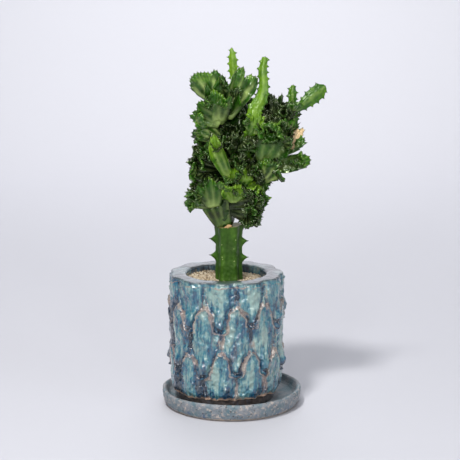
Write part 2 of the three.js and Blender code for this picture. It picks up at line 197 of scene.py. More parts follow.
class Bench:
    """A material being made: its node tree and the shader that it feeds."""

    def __init__(self, name: str) -> None:
        """Starts a material with a principled shader.

        Args:
            name: The material's name.
        """
        self.material = bpy.data.materials.new(name)
        self.material.use_nodes = True
        self.tree = self.material.node_tree
        self.shader = self.tree.nodes["Principled BSDF"]
        self.place = Signal(self, self.node("ShaderNodeTexCoord").outputs["Object"])

    def node(self, kind: str, settings: dict | None = None, sockets: dict | None = None) -> bpy.types.Node:
        """Adds a node.

        Args:
            kind: The node's type.
            settings: Its own settings, and a ramp's stops as (position, colour) pairs.
            sockets: Values or signals for its inputs, by name or number.

        Returns:
            The node.
        """
        made = self.tree.nodes.new(kind)
        for name, value in (settings or {}).items():
            if name == "stops":
                elements = made.color_ramp.elements
                while len(elements) < len(value):
                    elements.new(0.5)
                for element, (position, colour) in zip(elements, value):
                    element.position = position
                    element.color = (*colour, 1.0)
            else:
                setattr(made, name, value)
        for name, value in (sockets or {}).items():
            self.feed(made.inputs[name], value)
        return made

    def feed(self, socket: bpy.types.NodeSocket, value: "Signal | float | tuple") -> None:
        """Links a signal to a socket, or sets the socket's own value.

        Args:
            socket: The input to fill.
            value: A signal, a number or a colour.
        """
        if isinstance(value, Signal):
            self.tree.links.new(value.socket, socket)
        elif socket.type == "RGBA":
            socket.default_value = (*value[:3], 1.0)
        else:
            socket.default_value = value

    def value(self, name: str) -> Signal:
        """One of the piece's per-point values."""
        return Signal(self, self.node("ShaderNodeAttribute", {"attribute_name": name}).outputs["Fac"])

    def stretched(self, x: float, y: float, z: float) -> Signal:
        """The place on the piece, scaled by axis."""
        sockets = {0: self.place, 1: (x, y, z)}
        return Signal(self, self.node("ShaderNodeVectorMath", {"operation": "MULTIPLY"}, sockets).outputs[0])

    def cloud(
        self, scale: float, detail: float = 4.0, rough: float = 0.55, where: Signal | None = None
    ) -> Signal:
        """Soft noise of a scale in cycles per metre."""
        sockets = {"Vector": where or self.place, "Scale": scale, "Detail": detail, "Roughness": rough}
        return Signal(self, self.node("ShaderNodeTexNoise", None, sockets).outputs["Fac"])

    def specks(self, scale: float) -> Signal:
        """Distance from scattered points, 0 at each point, at a scale in points per metre."""
        sockets = {"Vector": self.place, "Scale": scale}
        return Signal(self, self.node("ShaderNodeTexVoronoi", None, sockets).outputs["Distance"])

    def ramp(self, signal: Signal, stops: list[tuple[float, Colour]]) -> Signal:
        """A colour for each value of a signal."""
        return Signal(self, self.node("ShaderNodeValToRGB", {"stops": stops}, {0: signal}).outputs["Color"])

    def mixed(self, below: "Signal | Colour", above: "Signal | Colour", share: "Signal | float") -> Signal:
        """Lays one colour over another.

        Args:
            below: The colour underneath.
            above: The colour on top.
            share: How much of the top colour shows.

        Returns:
            The mixed colour.
        """
        settings = {"data_type": "RGBA", "clamp_factor": True}
        return Signal(self, self.node("ShaderNodeMix", settings, {0: share, 6: below, 7: above}).outputs[2])

    def bump(self, height: Signal, depth: float, strength: float = 1.0) -> Signal:
        """A surface direction roughened by a height of the given depth in metres."""
        sockets = {"Height": height, "Distance": depth, "Strength": strength}
        return Signal(self, self.node("ShaderNodeBump", None, sockets).outputs["Normal"])

    def finish(self, **inputs: "Signal | float | Colour") -> bpy.types.Material:
        """Feeds the shader and hands over the material.

        Args:
            inputs: The value of each of the shader's inputs, by name.

        Returns:
            The finished material.
        """
        for name, value in inputs.items():
            self.feed(self.shader.inputs[name.replace("_", " ").title().replace("Ior", "IOR")], value)
        return self.material


# Mesh making --------------------------------------------------------------------------------------------


def stacked(x: Array, y: Array, z: Array) -> Array:
    """Three arrays spread to one shape and put together as rows of three."""
    return np.stack(np.broadcast_arrays(x, y, z), axis=-1)


def round_axis(radii: Array, heights: Array) -> Array:
    """Points round the upright axis, one row per ring, at angles from the front that grow to the right."""
    angle = round_angles(radii.shape[1])[None, :]
    return stacked(radii * np.sin(angle), -radii * np.cos(angle), heights)


def grid_faces(index: Array, joined: bool = False) -> Array:
    """Four-cornered faces between the rows and columns of a grid of point numbers.

    Args:
        index: Point numbers in rows and columns.
        joined: Whether the last column meets the first.

    Returns:
        The point numbers of each face.
    """
    if joined:
        index = np.concatenate([index, index[:, :1]], axis=1)
    corners = [index[:-1, :-1], index[:-1, 1:], index[1:, 1:], index[1:, :-1]]
    return np.stack([c.ravel() for c in corners], axis=1)


class Clay:
    """Collects the points, faces and per-point values of one piece."""

    def __init__(self) -> None:
        """Starts with nothing."""
        self.points: list[Array] = []
        self.corners: list[Array] = []
        self.sizes: list[Array] = []
        self.values: list[dict[str, Array | float]] = []
        self.count = 0

    def add(self, points: Array, faces: Array, **values: Array | float) -> None:
        """Adds one body.

        Args:
            points: Its points in millimetres.
            faces: Its faces as rows of point numbers, all with the same number of corners.
            **values: Per-point values, or one number for all its points.
        """
        points = points.reshape(-1, 3)
        self.points.append(points)
        self.corners.append((faces + self.count).ravel())
        self.sizes.append(np.full(len(faces), faces.shape[1]))
        self.values.append(values)
        self.count += len(points)

    def faces(self, faces: Array) -> None:
        """Adds faces between points that are already in, numbered from the last body's first point."""
        self.corners.append((faces + self.count - len(self.points[-1])).ravel())
        self.sizes.append(np.full(len(faces), faces.shape[1]))

    def tube(self, rings: Array, ends: Array, **values: Array | float) -> None:
        """Adds rings of points joined into a tube, with each end drawn to a point.

        Args:
            rings: One row of points per ring.
            ends: The two end points.
            **values: Per-point values, with the two ends' values last, or one number for all the points.
        """
        rows, sides = rings.shape[:2]
        count = rows * sides
        index = np.arange(count).reshape(rows, sides)
        self.add(np.concatenate([rings.reshape(-1, 3), ends]), grid_faces(index, True), **values)
        ring = np.arange(sides)
        turn = (ring + 1) % sides
        last = count - sides
        self.faces(stacked(turn, ring, np.array(count)))
        self.faces(stacked(last + ring, last + turn, np.array(count + 1)))

    def piece(self, name: str, material: bpy.types.Material) -> bpy.types.Object:
        """Makes the mesh object.

        Args:
            name: The piece's name.
            material: Its material.

        Returns:
            The object, linked to the scene.
        """
        points = np.concatenate(self.points) * MM
        corners = np.concatenate(self.corners)
        sizes = np.concatenate(self.sizes)
        starts = np.concatenate([[0], np.cumsum(sizes)[:-1]])
        mesh = bpy.data.meshes.new(name)
        mesh.vertices.add(len(points))
        mesh.vertices.foreach_set("co", points.astype(np.float32).ravel())
        mesh.loops.add(len(corners))
        mesh.loops.foreach_set("vertex_index", corners.astype(np.int32))
        mesh.polygons.add(len(sizes))
        mesh.polygons.foreach_set("loop_start", starts.astype(np.int32))
        mesh.polygons.foreach_set("use_smooth", np.ones(len(sizes), dtype=bool))
        mesh.update(calc_edges=True)
        for key in sorted({key for values in self.values for key in values}):
            column = [
                np.broadcast_to(np.asarray(values.get(key, 0.0), dtype=np.float32).ravel(), (len(points_in),))
                for values, points_in in zip(self.values, self.points)
            ]
            mesh.attributes.new(key, "FLOAT", "POINT").data.foreach_set("value", np.concatenate(column))
        mesh.materials.append(material)
        made = bpy.data.objects.new(name, mesh)
        bpy.context.scene.collection.objects.link(made)
        log.info("%s: %d points, %d faces", name, len(points), len(sizes))
        return made


def hand_over(made: bpy.types.Object, slot: str, *nodes: str) -> None:
    """Rides a piece on the one body, in place of CAD nodes.

    Args:
        made: The visual piece.
        slot: Not used.
        nodes: The CAD nodes it stands in for.
    """
    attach(made, "root")
    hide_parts(*nodes)


def box_mm(node: str) -> tuple[Array, Array]:
    """The lowest and highest corner of a CAD node, in millimetres."""
    low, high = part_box(node)
    return np.array(low) / MM, np.array(high) / MM


SPIKE_SIDES = 5
SPIKE_BASE = 0.3  # how far a spike's widest ring is sunk in the flesh, in mm
SPIKE_TAIL = 0.7  # how far its hidden end is sunk


def spikes(clay: Clay, roots: Array, ways: Array, lengths: Array, radius: float, **values: float) -> None:
    """Adds slender cones.

    Args:
        clay: The piece that they are added to.
        roots: Middle of each cone's base.
        ways: Direction of each cone.
        lengths: Length of each cone.
        radius: Radius of the bases.
        **values: Values that the cones carry.
    """
    sides = SPIKE_SIDES
    ways = unit(ways)
    aside = unit(np.cross(ways, np.array([0.3, 0.9, 0.31])))
    over = np.cross(ways, aside)
    angle = (np.arange(sides) * 2 * math.pi / sides)[None, :, None]
    ring = radius * (np.cos(angle) * aside[:, None] + np.sin(angle) * over[:, None])
    base = roots[:, None] - SPIKE_BASE * ways[:, None] + ring
    tip = (roots + ways * lengths[:, None])[:, None]
    tail = (roots - SPIKE_TAIL * ways)[:, None]
    points = np.concatenate([base, tip, tail], axis=1)
    first = np.arange(len(roots))[:, None] * (sides + 2)
    k = np.arange(sides)
    n = (k + 1) % sides
    side_faces = stacked(first + k, first + n, first + sides).reshape(-1, 3)
    tail_faces = stacked(first + n, first + k, first + sides + 1).reshape(-1, 3)
    clay.add(points, np.concatenate([side_faces, tail_faces]), **values)


def beads(clay: Clay, middles: Array, radii: Array, **values: float) -> None:
    """Adds small eight-sided beads, such as leaf scars, to a piece.

    Args:
        clay: The piece they are added to.
        middles: Their middles.
        radii: Their radii.
        values: Attributes of every point, by name.
    """
    corners = np.array([[1, 0, 0], [-1, 0, 0], [0, 1, 0], [0, -1, 0], [0, 0, 1], [0, 0, -1]], dtype=float)
    faces = np.array([[0, 2, 4], [2, 1, 4], [1, 3, 4], [3, 0, 4], [2, 0, 5], [1, 2, 5], [3, 1, 5], [0, 3, 5]])
    points = middles[:, None] + corners[None] * radii[:, None, None]
    numbers = (np.arange(len(middles)) * 6)[:, None, None] + faces[None]
    clay.add(points, numbers.reshape(-1, 3), **values)


# Finishes -----------------------------------------------------------------------------------------------


@dataclass(frozen=True)
class CrestSkin:
    """The glossy skin of the folded crest, with pale streaks, a painted highlight where each fan starts,
    painted shade in the grooves between its teeth, pale specks that are partly painted glints, and a brown,
    spiny rim.
    """

    dark: Colour = srgb(12, 24, 7)
    green: Colour = srgb(36, 82, 12)
    fresh: Colour = srgb(116, 156, 34)
    pale: Colour = srgb(168, 190, 110)
    brown: Colour = srgb(78, 76, 44)
    spine: Colour = srgb(40, 36, 26)
    scar: Colour = srgb(206, 178, 138)
    speck: Colour = srgb(186, 184, 160)

    def make(self) -> bpy.types.Material:
        """Makes the material.

        Returns:
            The finished material.
        """
        bench = Bench("crest_skin")
        bright = bench.value("bright")
        mottle = bench.cloud(180.0, 5.0, 0.6)
        fine = bench.cloud(900.0, 3.0, 0.6)
        # Painted shade: the skin is darker in the grooves between the rim's teeth.
        tone = (bright + (mottle - 0.5) * 0.5 - bench.value("groove") * 0.16).clamped()
        skin = bench.ramp(tone, [(0.0, self.dark), (0.5, self.green), (1.0, self.fresh)])
        # The pale value carries the fans' pale streaks and the painted highlight where each fan starts.
        streak = (bench.value("pale") * (0.5 + mottle * 0.7)).clamped()
        skin = bench.mixed(skin, self.pale, streak)
        skin = bench.mixed(skin, self.brown, bench.value("rim") * (0.05 + fine * 0.5))
        worn = (bench.value("scar") + (fine - 0.5) * 0.5).step(0.35, 0.6)
        skin = bench.mixed(skin, bench.mixed(self.scar, self.brown, fine.step(0.5, 0.72)), worn)
        # Pale specks: partly leaf scars, partly painted glints.
        skin = bench.mixed(skin, self.speck, bench.value("speck"))
        skin = bench.mixed(skin, self.spine, bench.value("spine"))
        rough = 0.16 + mottle * 0.16 + worn * 0.35 + bench.value("spine") * 0.2
        normal = bench.bump(bench.cloud(420.0, 1.5, 0.5) + fine * 0.08, 0.0006, 0.7)
        bench.shader.inputs["Specular IOR Level"].default_value = 0.42
        bench.shader.inputs["Specular Tint"].default_value = (0.8, 1.0, 0.5, 1.0)
        bench.shader.inputs["Coat Roughness"].default_value = 0.14
        return bench.finish(base_color=skin, roughness=rough, normal=normal, coat_weight=0.3)


@dataclass(frozen=True)
class StockSkin:
    """The rootstock's thicker green skin, ribbed, with corky scars."""

    deep: Colour = srgb(20, 42, 12)
    green: Colour = srgb(40, 74, 18)
    fresh: Colour = srgb(72, 110, 30)
    cork: Colour = srgb(196, 160, 122)
    dot: Colour = srgb(170, 186, 120)
    spine: Colour = srgb(52, 44, 34)

    def make(self) -> bpy.types.Material:
        """Makes the material.

        Returns:
            The finished material.
        """
        bench = Bench("rootstock_skin")
        streaks = bench.cloud(60.0, 4.0, 0.6, bench.stretched(4.0, 4.0, 0.7))
        mottle = bench.cloud(420.0, 4.0, 0.65)
        tone = (bench.value("bright") + (streaks - 0.5) * 0.7 + (mottle - 0.5) * 0.35).clamped()
        skin = bench.ramp(tone, [(0.0, self.deep), (0.5, self.green), (1.0, self.fresh)])
        skin = bench.mixed(
            skin, bench.ramp(mottle, [(0.3, srgb(150, 116, 76)), (0.7, self.cork)]), bench.value("cork")
        )
        skin = bench.mixed(skin, self.dot, bench.value("dot"))
        skin = bench.mixed(skin, self.spine, bench.value("spine"))
        rough = 0.34 + mottle * 0.18 + bench.value("cork") * 0.3
        bench.shader.inputs["Specular Tint"].default_value = (0.8, 1.0, 0.45, 1.0)
        normal = bench.bump(mottle + streaks * 0.6, 0.0005, 0.45)
        return bench.finish(base_color=skin, roughness=rough, normal=normal)


@dataclass(frozen=True)
class PotGlaze:
    """Running blue and teal glaze that pools deep blue and breaks to beige on raised edges, with painted
    shade on the pot's left, on the scales' right sides, edges and tips and under the foot, and a painted
    highlight along the top row's upper edge.
    """

    deep: Colour = srgb(6, 38, 60)
    blue: Colour = srgb(14, 72, 104)
    teal: Colour = srgb(54, 116, 130)
    grey: Colour = srgb(134, 162, 156)
    beige: Colour = srgb(176, 158, 142)
    clay: Colour = srgb(150, 104, 74)
    rim: Colour = srgb(62, 69, 72)

    def make(self) -> bpy.types.Material:
        """Makes the material.

        Returns:
            The finished material.
        """
        bench = Bench("pot_glaze")
        runs = bench.cloud(34.0, 5.0, 0.62, bench.stretched(5.0, 5.0, 0.8))
        patches = bench.cloud(48.0, 4.0, 0.6)
        grain = bench.cloud(700.0, 4.0, 0.7)
        streaks = bench.cloud(95.0, 5.0, 0.7, bench.stretched(3.0, 3.0, 0.55))
        tone = (runs - 0.5) * 1.5 + (streaks - 0.5) * 1.2 + (patches - 0.5) * 1.4
        # The pooling value darkens the glaze where it pools and where painted shade falls.
        tone = tone + 0.62 + bench.value("lift") * 0.12 - bench.value("pool") * 0.5
        glaze = bench.ramp(
            tone.clamped(), [(0.12, self.deep), (0.36, self.blue), (0.58, self.teal), (0.84, self.grey)]
        )
        warm = bench.cloud(70.0, 5.0, 0.75, bench.stretched(2.2, 2.2, 0.7)).step(0.5, 0.68)
        glaze = bench.mixed(glaze, srgb(144, 138, 122), warm * 0.34)
        uneven = (grain - 0.5) * 1.3 + (patches - 0.5) * 2.4 + (streaks - 0.5) * 1.4
        breaking = (bench.value("edge") * 0.95 + uneven).step(0.42, 0.9)
        glaze = bench.mixed(
            glaze, bench.mixed(self.beige, srgb(134, 112, 106), grain.step(0.4, 0.6)), breaking * 0.8
        )
        glaze = bench.mixed(
            glaze, bench.mixed(self.rim, glaze, patches.step(0.4, 0.7) * 0.6), bench.value("rim")
        )
        dots = bench.specks(420.0).step(0.34, 0.12) * bench.cloud(90.0).step(0.52, 0.66)
        glaze = bench.mixed(glaze, srgb(52, 44, 44), dots * 0.4)
        glaze = bench.mixed(glaze, bench.mixed(self.clay, self.beige, grain), bench.value("bare"))
        rough = 0.06 + bench.value("rim") * 0.24 + bench.value("bare") * 0.5 + grain * 0.05
        normal = bench.bump(runs * 0.5 + grain * 0.03 + bench.cloud(150.0, 1.0, 0.4) * 1.2, 0.0026, 0.95)
        bench.shader.inputs["Specular IOR Level"].default_value = 0.8
        return bench.finish(
            base_color=glaze, roughness=rough, normal=normal, coat_weight=0.9 - bench.value("bare") * 0.6
        )


@dataclass(frozen=True)
class SaucerGlaze:
    """A dry, mottled grey, teal and beige glaze, pitted and speckled."""

    grey: Colour = srgb(128, 134, 140)
    teal: Colour = srgb(84, 112, 122)
    beige: Colour = srgb(190, 176, 166)
    blue: Colour = srgb(52, 84, 120)
    brown: Colour = srgb(70, 54, 50)
    foot: Colour = srgb(186, 164, 142)

    def make(self) -> bpy.types.Material:
        """Makes the material.

        Returns:
            The finished material.
        """
        bench = Bench("saucer_glaze")
        broad = bench.cloud(70.0, 5.0, 0.65)
        blotch = bench.cloud(260.0, 5.0, 0.7)
        grain = bench.cloud(1100.0, 3.0, 0.7)
        outside = bench.value("outside")
        glaze = bench.ramp(broad, [(0.34, self.teal), (0.56, self.grey), (0.74, srgb(150, 152, 156))])
        glaze = bench.mixed(glaze, self.beige, blotch.step(0.5, 0.66) * outside * 0.85)
        glaze = bench.mixed(
            glaze, self.blue, (bench.cloud(120.0, 4.0, 0.7).step(0.5, 0.66) * bench.value("low")) * 0.8
        )
        pits = bench.specks(330.0).step(0.36, 0.16) * bench.cloud(150.0).step(0.42, 0.6)
        glaze = bench.mixed(glaze, self.brown, pits * (0.25 + outside * 0.6))
        glaze = bench.mixed(glaze, self.foot, bench.value("bare") * (0.6 + grain * 0.4))
        rough = 0.42 + blotch * 0.2 - outside * 0.06
        normal = bench.bump(blotch * 1.2 + grain * 0.5 - pits * 0.9, 0.0009, 0.75)
        return bench.finish(base_color=glaze, roughness=rough, normal=normal)


@dataclass(frozen=True)
class GravelStone:
    """Cream and beige grit with a few brown and grey grains."""

    def make(self) -> bpy.types.Material:
        """Makes the material.

        Returns:
            The finished material.
        """
        bench = Bench("gravel_stone")
        grain = bench.cloud(1500.0, 4.0, 0.7)
        stops = [
            (0.0, srgb(60, 48, 38)), (0.14, srgb(106, 86, 66)), (0.32, srgb(152, 132, 106)),
            (0.55, srgb(174, 158, 132)),
            (0.8, srgb(196, 184, 162)), (1.0, srgb(220, 212, 196)),
        ]
        stone = bench.ramp((bench.value("shade") * 0.85 + (grain - 0.5) * 0.25).clamped(), stops)
        return bench.finish(
            base_color=stone, roughness=0.55 + grain * 0.3, normal=bench.bump(grain, 0.0003, 0.6)
        )


@dataclass(frozen=True)
class DampSoil:
    """Dark peaty soil."""

    def make(self) -> bpy.types.Material:
        """Makes the material.

        Returns:
            The finished material.
        """
        bench = Bench("soil")
        crumbs = bench.cloud(500.0, 5.0, 0.75)
        soil = bench.ramp(crumbs, [(0.3, srgb(24, 18, 14)), (0.6, srgb(52, 38, 28)), (0.8, srgb(92, 70, 50))])
        return bench.finish(
            base_color=soil, roughness=0.85 + crumbs * 0.1, normal=bench.bump(crumbs, 0.0015, 0.9)
        )


# Crest --------------------------------------------------------------------------------------------------


class Tone(Enum):
    """How fresh and how streaked a fan is: its brightness, and its share of pale streaks."""

    DEEP = (0.26, 0.3)
    GREEN = (0.42, 0.3)
    BRIGHT = (0.8, 0.35)
    LIGHT = (0.84, 0.6)
    PALE = (0.46, 0.95)
    DARK = (0.05, 0.15)


@dataclass(frozen=True)
class Fan:
    """One crest fan: a folded, ribbed sheet of flesh, narrow where it starts, with a spiny rim.

    It stands in for the CAD node of its name and keeps close to it. Lean is in degrees from upright, right
    positive. Toward is in degrees to the front, turn in degrees about its own length, and spread in degrees.
    Folds and buds are counts, and the rest is in millimetres. A scar is an x, a z and a reach.
    """

    node: str
    start: tuple[float, float, float]
    lean: float
    toward: float
    turn: float
    height: float
    spread: float
    neck: float
    folds: int
    depth: float
    tone: Tone
    scars: tuple[tuple[float, float, float], ...] = ()
    root: float = 11.0
    rim: float = 4.6
    saw: float = 1.5
    buds: int = 0

    def axes(self) -> tuple[Array, Array, Array]:
        """Along the growth, across it and out of its face.

        Returns:
            The three directions, each of length one.
        """
        a, t, y = (math.radians(v) for v in (self.lean, self.toward, self.turn))
        along = np.array([math.sin(a) * math.cos(t), -math.sin(t), math.cos(a) * math.cos(t)])
        flat = np.array([math.cos(a), 0.0, -math.sin(a)])
        face = np.cross(flat, along)
        across = flat * math.cos(y) + face * math.sin(y)
        return along, across, np.cross(across, along)

    def seed(self) -> int:
        """A fixed number of its own for irregular detail."""
        return int(abs(self.start[0] * 31 + self.start[1] * 57 + self.start[2] * 13 + self.lean * 7)) + 11

    def rim_length(self) -> float:
        """Length of the rim along its folds, in mm."""
        half, bend = math.radians(self.spread / 2), math.pi * self.folds * 0.5
        return self.height * 2 * half * math.sqrt(1 + (0.8 * self.depth * bend / (self.height * half)) ** 2)

    def wave(self, u: Array, v: Array) -> Array:
        """How far the sheet stands out of its plane: broad folds, a cupped face, a curled rim and ruffles.

        Args:
            u: Place across the fan, -1 to 1.
            v: Place along it, 0 at the start and 1 at the rim.

        Returns:
            The distance in mm.
        """
        draw = np.random.default_rng(self.seed() + 5)
        b, c, d = draw.uniform(0, 2 * math.pi, 3)
        bend = math.pi * self.folds * 0.5
        ruffled = self.tone is Tone.DARK
        pitch, rise = (8.0, 1.9) if ruffled else (13.0, 1.3)
        rise = rise * (0.5 if self.height < 20 else 1.0)
        turns = math.pi * self.rim_length() / pitch
        cup = draw.uniform(0.05, 0.26) * self.height * (0.4 if ruffled else 1.0)
        curl = draw.uniform(-0.2, 0.06) * self.height
        broad = self.depth * (0.75 * v**1.5 if ruffled else 0.85 * v**2.6) * np.sin(bend * u + self.start[0])
        broad = broad + 0.5 * self.depth * v**2 * np.sin(0.45 * bend * u + b)
        ruffle = rise * v**5 * np.sin(turns * u + c + 1.1 * np.sin(2.6 * u + d))
        return broad + ruffle + cup * u**2 * v + curl * v**3

    def middle(self, u: Array, v: Array, saw: Array | float = 0.0) -> Array:
        """Points of the sheet's middle surface.

        Args:
            u: Place across the fan, -1 to 1.
            v: Place along it, 0 at the start and 1 at the rim.
            saw: Extra reach of the rim.

        Returns:
            The points.
        """
        along, across, out = self.axes()
        bend = math.pi * self.folds * 0.5
        half = math.radians(self.spread / 2)
        draw = np.random.default_rng(self.seed())
        a, b = draw.uniform(0, 2 * math.pi, 2)
        lobes = 1 + 0.05 * np.cos(2 * bend * u + self.start[2]) + 0.04 * np.sin(2.1 * bend * u + a) * v**2
        notch = np.clip(np.cos(1.27 * bend * u + b), 0, 1) ** 6 * 0.13 * v**2
        r = self.height * v * (lobes - notch) * (1.03 - 0.3 * np.abs(u) ** 3.2 * v) + saw
        side = r * np.sin(u * half) + self.neck * u * (1 - v)
        points = np.array(self.start) + side[..., None] * across + (r * np.cos(u * half))[..., None] * along
        uneven = 1.5 * waves(points, 17.0, self.seed() + 9) * v
        return points + (self.wave(u, v) + uneven)[..., None] * out

    def sculpt(self, clay: Clay, columns: int = 132, rows: int = 30) -> None:
        """Adds the fan's flesh, teeth and pale specks to a piece; the specks are partly leaf scars and partly
        painted glints.

        Args:
            clay: The piece.
            columns: Steps across.
            rows: Steps along.
        """
        out = self.axes()[2]
        draw = np.random.default_rng(self.seed() + 1)
        teeth = max(5, round(self.rim_length() / (3.2 if self.tone is Tone.DARK else 3.8)))
        u = np.linspace(-1, 1, columns + 1)[None, :]
        v = (1 - (1 - np.linspace(0, 1, rows + 1)) ** 1.35)[:, None]
        phase = (u + 1) / 2 * teeth
        from_tooth = np.abs(phase - np.round(phase)) * 2
        tooth = np.clip(1 - from_tooth * 1.6, 0, 1) ** 1.2 * smooth(0.88, 1.0, v)
        u, v = np.broadcast_arrays(u, v)
        middle = self.middle(u, v, self.saw * tooth)
        groove = (0.5 + 0.5 * np.cos(2 * math.pi * (phase + 0.5))) * smooth(0.55, 0.95, v)
        thick = self._half_thickness(u, v, groove)
        front = middle + thick[..., None] * out
        back = middle - thick[..., None] * out
        lumps = waves(front, 11.0, self.seed() + 2) * 0.5
        front = front + (lumps * (thick > 0.2))[..., None] * out
        front[0], front[-1], front[:, 0], front[:, -1] = middle[0], middle[-1], middle[:, 0], middle[:, -1]
        number = np.arange(front.shape[0] * front.shape[1]).reshape(front.shape[:2])
        behind = number.copy()
        behind[1:-1, 1:-1] = (
            number.size + np.arange((rows - 1) * (columns - 1)).reshape(rows - 1, columns - 1)
        )
        faces = np.concatenate([grid_faces(number), grid_faces(behind)[:, ::-1]])
        points = np.concatenate([front.reshape(-1, 3), back[1:-1, 1:-1].reshape(-1, 3)])
        joined = {
            key: np.concatenate([ahead.ravel(), aft[1:-1, 1:-1].ravel()])
            for key, (ahead, aft) in self._colouring(u, v, middle, groove).items()
        }
        clay.add(points, faces, scar=self._scarring(points), **joined)
        self._teeth(clay, teeth, draw)
        self._buds(clay, draw)

    def _half_thickness(self, u: Array, v: Array, groove: Array) -> Array:
        """How thick the flesh is on each side of its middle surface, round at the rim and at the start.

        Args:
            u: Place across the fan.
            v: Place along it.
            groove: How deep in a groove between two teeth each point is.

        Returns:
            The thickness in mm.
        """
        across = self.height * v * math.radians(self.spread / 2) + self.neck * (1 - v)
        slope = np.gradient(self.wave(u, v), axis=1) / (np.maximum(across, 1.0) * 2 / (u.shape[1] - 1))
        rounded = np.sqrt(np.clip(1 - ((v - 0.88) / 0.12) ** 2, 0, 1) * (v > 0.88) + (v <= 0.88))
        rounded = rounded * np.sqrt(np.clip(1 - ((0.1 - v) / 0.1) ** 2, 0, 1) * (v < 0.1) + (v >= 0.1))
        hem = 0.9 * hump(v - 0.92, 0.06)
        body = 0.78 * self.rim + hem + (self.root - self.rim) * (1 - v) ** 1.7
        body = body * rounded * np.sqrt(1 - np.abs(u) ** 6)
        return 0.5 * body * (1 - 0.12 * groove) * np.minimum(np.sqrt(1 + slope**2), 1.7)

    def _colouring(self, u: Array, v: Array, middle: Array, groove: Array) -> dict[str, tuple[Array, Array]]:
        """The skin's values: streaks drawn from the start, a painted highlight there, and a rim that is
        lighter from fresh growth and painted light, over a start darkened with painted shade.

        Args:
            u: Place across the fan.
            v: Place along it.
            middle: Points of the middle surface.
            groove: How deep in a groove between two teeth each point is.

        Returns:
            The value of each point on the front and on the back, by name.
        """
        fresh, streaked = self.tone.value
        wander = 0.5 * waves(middle, 12.0, self.seed() + 8)
        drawn = np.sin((2.2 * self.folds + 6) * u + self.start[2] + wander) * 0.5 + 0.5
        streak = 0.85 * streaked * drawn**1.6 * smooth(0.0, 0.5, v) * (1 - smooth(0.6, 0.98, v))
        # Painted highlight: a pale patch where each fan starts, carried in the pale value.
        painted_base_highlight = {Tone.DARK: 0.0, Tone.DEEP: 0.2}.get(self.tone, 0.9) * hump(v, 0.26) * (1 - u**2)
        pale = np.clip(streak + painted_base_highlight, 0, 1)
        # Lighter towards the rim, partly fresh growth and partly painted light, and darker towards the start
        # as painted shade deep in the crest.
        fresh_rim_light_and_base_shade = 0.36 * v**6 - 0.12 if self.tone in (Tone.DARK, Tone.DEEP) else 0.34 * v**3 - 0.16
        bright = fresh + fresh_rim_light_and_base_shade + 0.2 * waves(middle, 22.0, self.seed() + 3) - 0.14 * smooth(0.5, 1.0, np.abs(u))
        edge = smooth(0.95, 1.0, v)
        return {
            "pale": (pale, pale * 0.6),
            "bright": (bright, bright - 0.04),
            "groove": (groove, groove),
            "rim": (edge, edge),
        }

    def _scarring(self, points: Array) -> Array:
        """How withered each point is by the fan's scars.

        Args:
            points: Points of the fan.

        Returns:
            From 0 for sound to 1 for withered.
        """
        scar = np.zeros(len(points))
        for x, z, reach in self.scars:
            away = np.hypot(points[:, 0] - x, (points[:, 2] - z) * 0.7)
            scar = np.maximum(scar, 1 - smooth(0.55 * reach, 1.15 * reach, away))
        return scar

    def _buds(self, clay: Clay, draw: np.random.Generator) -> None:
        """Adds the small folds that crowd on the fan's face, behind its rim.

        Args:
            clay: The piece.
            draw: Source of irregularity.
        """
        along, across, out = self.axes()
        half = math.radians(self.spread / 2)
        for number in range(self.buds):
            u = -0.86 + 1.72 * (number + draw.uniform(0.1, 0.9)) / self.buds
            v = draw.uniform(0.55, 0.9)
            side = 1.0 if draw.random() < 0.68 else -1.0
            size = draw.uniform(0.3, 0.44) * min(self.height, 34)
            start = self.middle(np.array(u), np.array(v)) + side * out * self.rim * 0.25
            growth = along * math.cos(u * half) + across * math.sin(u * half)
            way = growth * draw.uniform(0.5, 1.0) + side * out * draw.uniform(0.6, 1.3)
            way = unit(way + draw.normal(0, 0.3, 3))
            tone = self.tone if draw.random() < 0.6 else Tone.GREEN if self.tone is Tone.DARK else Tone.DEEP
            bud = Fan(
                self.node, tuple(start), math.degrees(math.atan2(way[0], way[2])),
                math.degrees(math.asin(-np.clip(way[1], -0.99, 0.99))), draw.uniform(-50, 50), size,
                draw.uniform(95, 150), 2.6, int(draw.integers(3, 6)), draw.uniform(1.3, 2.2), tone,
                root=5.0, rim=2.9, saw=1.1,
            )
            bud.sculpt(clay, columns=44, rows=10)

    def _teeth(self, clay: Clay, teeth: int, draw: np.random.Generator) -> None:
        """Adds the dark spines at the rim's teeth and the pale specks beside them, which are partly leaf
        scars and partly painted glints.

        Args:
            clay: The piece.
            teeth: How many teeth the rim has.
            draw: Source of irregularity.
        """
        out = self.axes()[2]
        at = np.arange(1, teeth) / teeth * 2 - 1
        one = np.ones_like(at)
        tips = self.middle(at, one, self.saw * one)
        ways = unit(tips - self.middle(at, one * 0.9))
        for side in (-1, 1):
            lean = ways + side * draw.uniform(0.15, 0.7, (len(at), 1)) * out
            lean = lean + draw.normal(0, 0.16, (len(at), 3))
            lengths = draw.uniform(0.8, 1.7, len(at))
            spikes(clay, tips - ways * 0.6, lean, lengths, 0.4, spine=1.0)
        # Pale specks beside the teeth: partly leaf scars, partly painted glints.
        dots = draw.random(len(at)) < (0.5 if self.tone in (Tone.DARK, Tone.PALE) else 0.2)
        middles = tips - ways * 1.6 + out * draw.choice([-1.0, 1.0], (len(at), 1)) * 0.8
        if dots.any():
            beads(clay, middles[dots], draw.uniform(0.35, 0.75, dots.sum()), speck=0.8)


